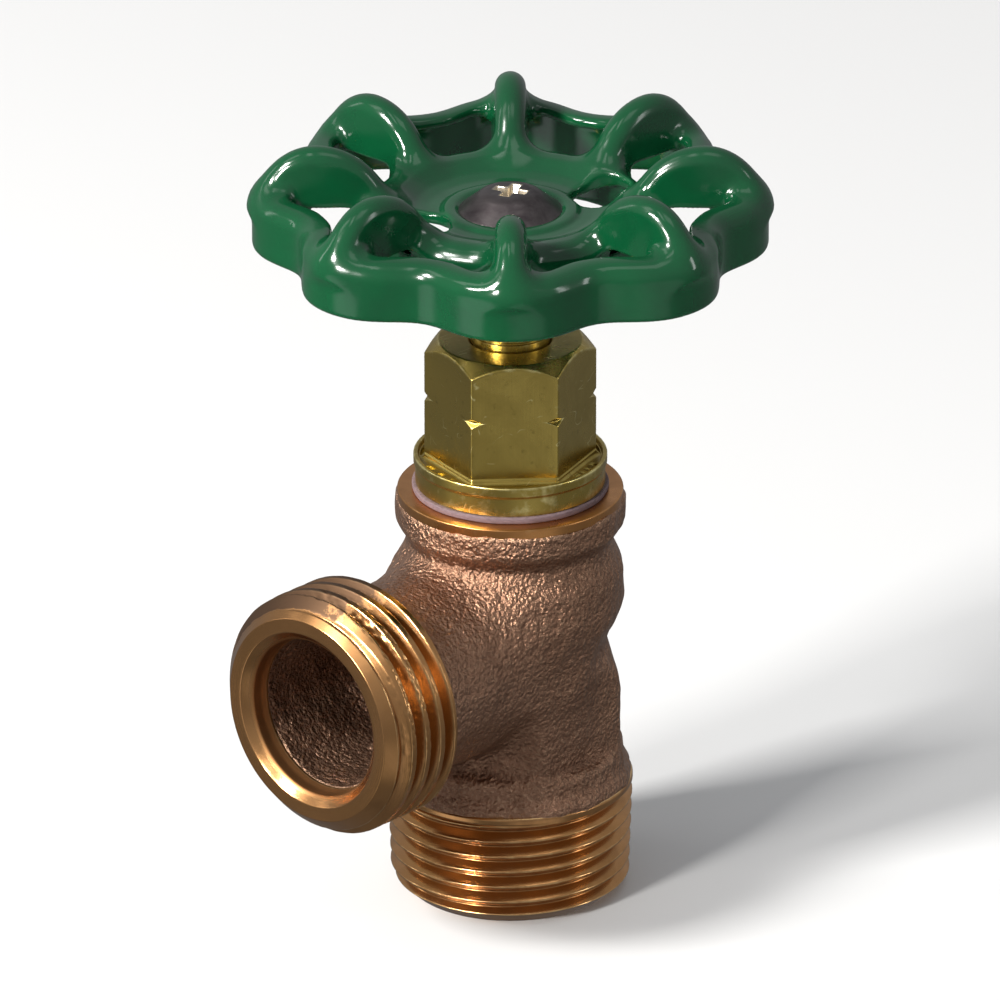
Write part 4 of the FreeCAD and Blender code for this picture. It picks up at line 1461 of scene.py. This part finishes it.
@dataclass
class Carried:
    """The CAD nodes whose shape is already right: they only take a material."""

    def build(self, finishes: Finishes) -> None:
        """Dress the seals, the washer and the washer's cup and screw."""
        for node, material in (("o_ring_lower", finishes.rubber), ("o_ring_upper", finishes.rubber),
                               ("washer_holder", finishes.stem_brass), ("washer_screw", finishes.stem_brass),
                               ("seat_washer", finishes.washer_rubber)):
            obj = frame["nodes"][node]
            obj.data.materials.clear()
            obj.data.materials.append(material)
            LOG.info("%s keeps its CAD mesh", node)


@dataclass
class Studio:
    """The floor, the sky, the lights and the camera."""

    camera_distance: float = 1.5
    camera_elevation: float = math.radians(23.4)
    camera_azimuth: float = math.radians(42.8)
    lens: float = 500.6
    target: tuple[float, float, float] = (-0.000815, -0.000754, 0.0449)
    floor_half: float = 3.0
    floor_shade: float = 0.64
    light_aim_z: float = 0.045
    lights: tuple = (
        # name, place in the camera's frame (right, towards, up), width, length, watts, colour
        ("key", (-0.9, 0.5, 0.85), 0.24, 0.24, 24.0, (1.0, 0.985, 0.96)),
        ("mouth", (-0.74, 0.85, 0.55), 0.18, 0.18, 15.0, (1.0, 0.98, 0.95)),
        ("over_left", (-0.75, 0.0, 1.05), 0.24, 0.5, 0.7, (1.0, 0.99, 0.97)),
        ("over_strip", (-0.2, 0.25, 1.05), 0.12, 0.4, 0.35, (1.0, 1.0, 1.0)),
        ("over_right", (0.22, 0.18, 1.05), 0.4, 0.4, 0.5, (1.0, 1.0, 1.0)),
        ("side_right", (1.0, 0.3, 0.4), 0.14, 0.5, 1.2, (1.0, 1.0, 1.0)),
        ("side_left", (-1.05, -0.3, 0.45), 0.1, 0.5, 0.5, (1.0, 1.0, 1.0)))
    cards: tuple = (
        # a pale card's direction, the cosines where its glow starts and is full, and its strength
        ((-0.223, -0.878, -0.423), 0.92, 0.985, 0.85),
        ((0.776, -0.317, -0.545), 0.88, 0.97, 0.3))

    def build(self) -> None:
        """Lay the floor, paint the sky, hang the lights and stand the camera.

        The floor is kept out of reflections, so that what metal and enamel mirror is the sky alone.
        """
        scene = bpy.context.scene
        half = self.floor_half
        floor = mesh_object("floor", np.array([(-half, -half, 0), (half, -half, 0), (half, half, 0),
                                               (-half, half, 0)]) / MM, np.array([[0, 1, 2, 3]]), False)
        material = bpy.data.materials.new("pale_floor")
        material.use_nodes = True
        shader = next(n for n in material.node_tree.nodes if n.type == "BSDF_PRINCIPLED")
        shader.inputs["Base Color"].default_value = (*(self.floor_shade,) * 3, 1)
        shader.inputs["Roughness"].default_value = 0.7
        floor.data.materials.append(material)
        floor.visible_glossy = False
        scene.view_settings.view_transform = "Standard"
        world = bpy.data.worlds.new("studio")
        scene.world = world
        world.use_nodes = True
        background = next(n for n in world.node_tree.nodes if n.type == "BACKGROUND")
        background.inputs["Color"].default_value = (0.95, 0.97, 1.0, 1)
        sky = Graph(world.node_tree)
        way = sky.add("TexCoord").outputs["Generated"]
        upward = sky.add("SeparateXYZ", {"Vector": way}).outputs["Z"]
        glow = sky.add("MapRange", {"Value": upward, "From Min": -0.6, "From Max": 0.4, "To Min": 0.16,
                                    "To Max": 0.4}, interpolation_type="SMOOTHSTEP").outputs[0]
        for aim, start, full, strength in self.cards:
            near = sky.add("VectorMath", {0: way, 1: aim}, operation="DOT_PRODUCT").outputs["Value"]
            card = sky.add("MapRange", {"Value": near, "From Min": start, "From Max": full,
                                        "To Max": strength}, interpolation_type="SMOOTHSTEP")
            glow = sky.plus(glow, card.outputs[0])
        sky.put(background, {"Strength": glow})
        middle = Vector((0, 0, self.light_aim_z))
        a, e = self.camera_azimuth, self.camera_elevation
        right, towards = Vector((math.cos(a), math.sin(a), 0)), Vector((math.sin(a), -math.cos(a), 0))
        for name, (across, near, up), width, length, watts, colour in self.lights:
            lamp = bpy.data.lights.new(name, "AREA")
            lamp.shape, lamp.size, lamp.size_y = "RECTANGLE", width, length
            lamp.energy, lamp.color = watts, colour
            holder = bpy.data.objects.new(name, lamp)
            holder.location = right * across + towards * near + Vector((0, 0, up))
            aim = (middle - holder.location).normalized()
            side = aim.cross(towards if abs(aim.z) > 0.85 else Vector((0, 0, 1))).normalized()
            turn = Matrix((side, side.cross(aim).normalized(), -aim)).transposed()
            holder.rotation_euler = turn.to_euler()
            scene.collection.objects.link(holder)
        away = Vector((math.cos(e) * math.sin(a), -math.cos(e) * math.cos(a), math.sin(e)))
        data = bpy.data.cameras.new("camera")
        data.lens, data.sensor_width, data.clip_end = self.lens, 36.0, 20.0
        camera = bpy.data.objects.new("camera", data)
        camera.location = Vector(self.target) + away * self.camera_distance
        camera.rotation_euler = away.to_track_quat("Z", "Y").to_euler()
        scene.collection.objects.link(camera)
        scene.camera = camera


def main() -> None:
    """Build the studio and every sub-assembly in order."""
    logging.basicConfig(level=logging.INFO, format="%(name)s %(message)s")
    Studio().build()
    finishes = Finishes.make()
    for part in (Casting(), Bonnet(), Stem(), Handwheel(), Carried()):
        part.build(finishes)
        LOG.info("%s done", type(part).__name__)


if __name__ == "__main__":
    main()
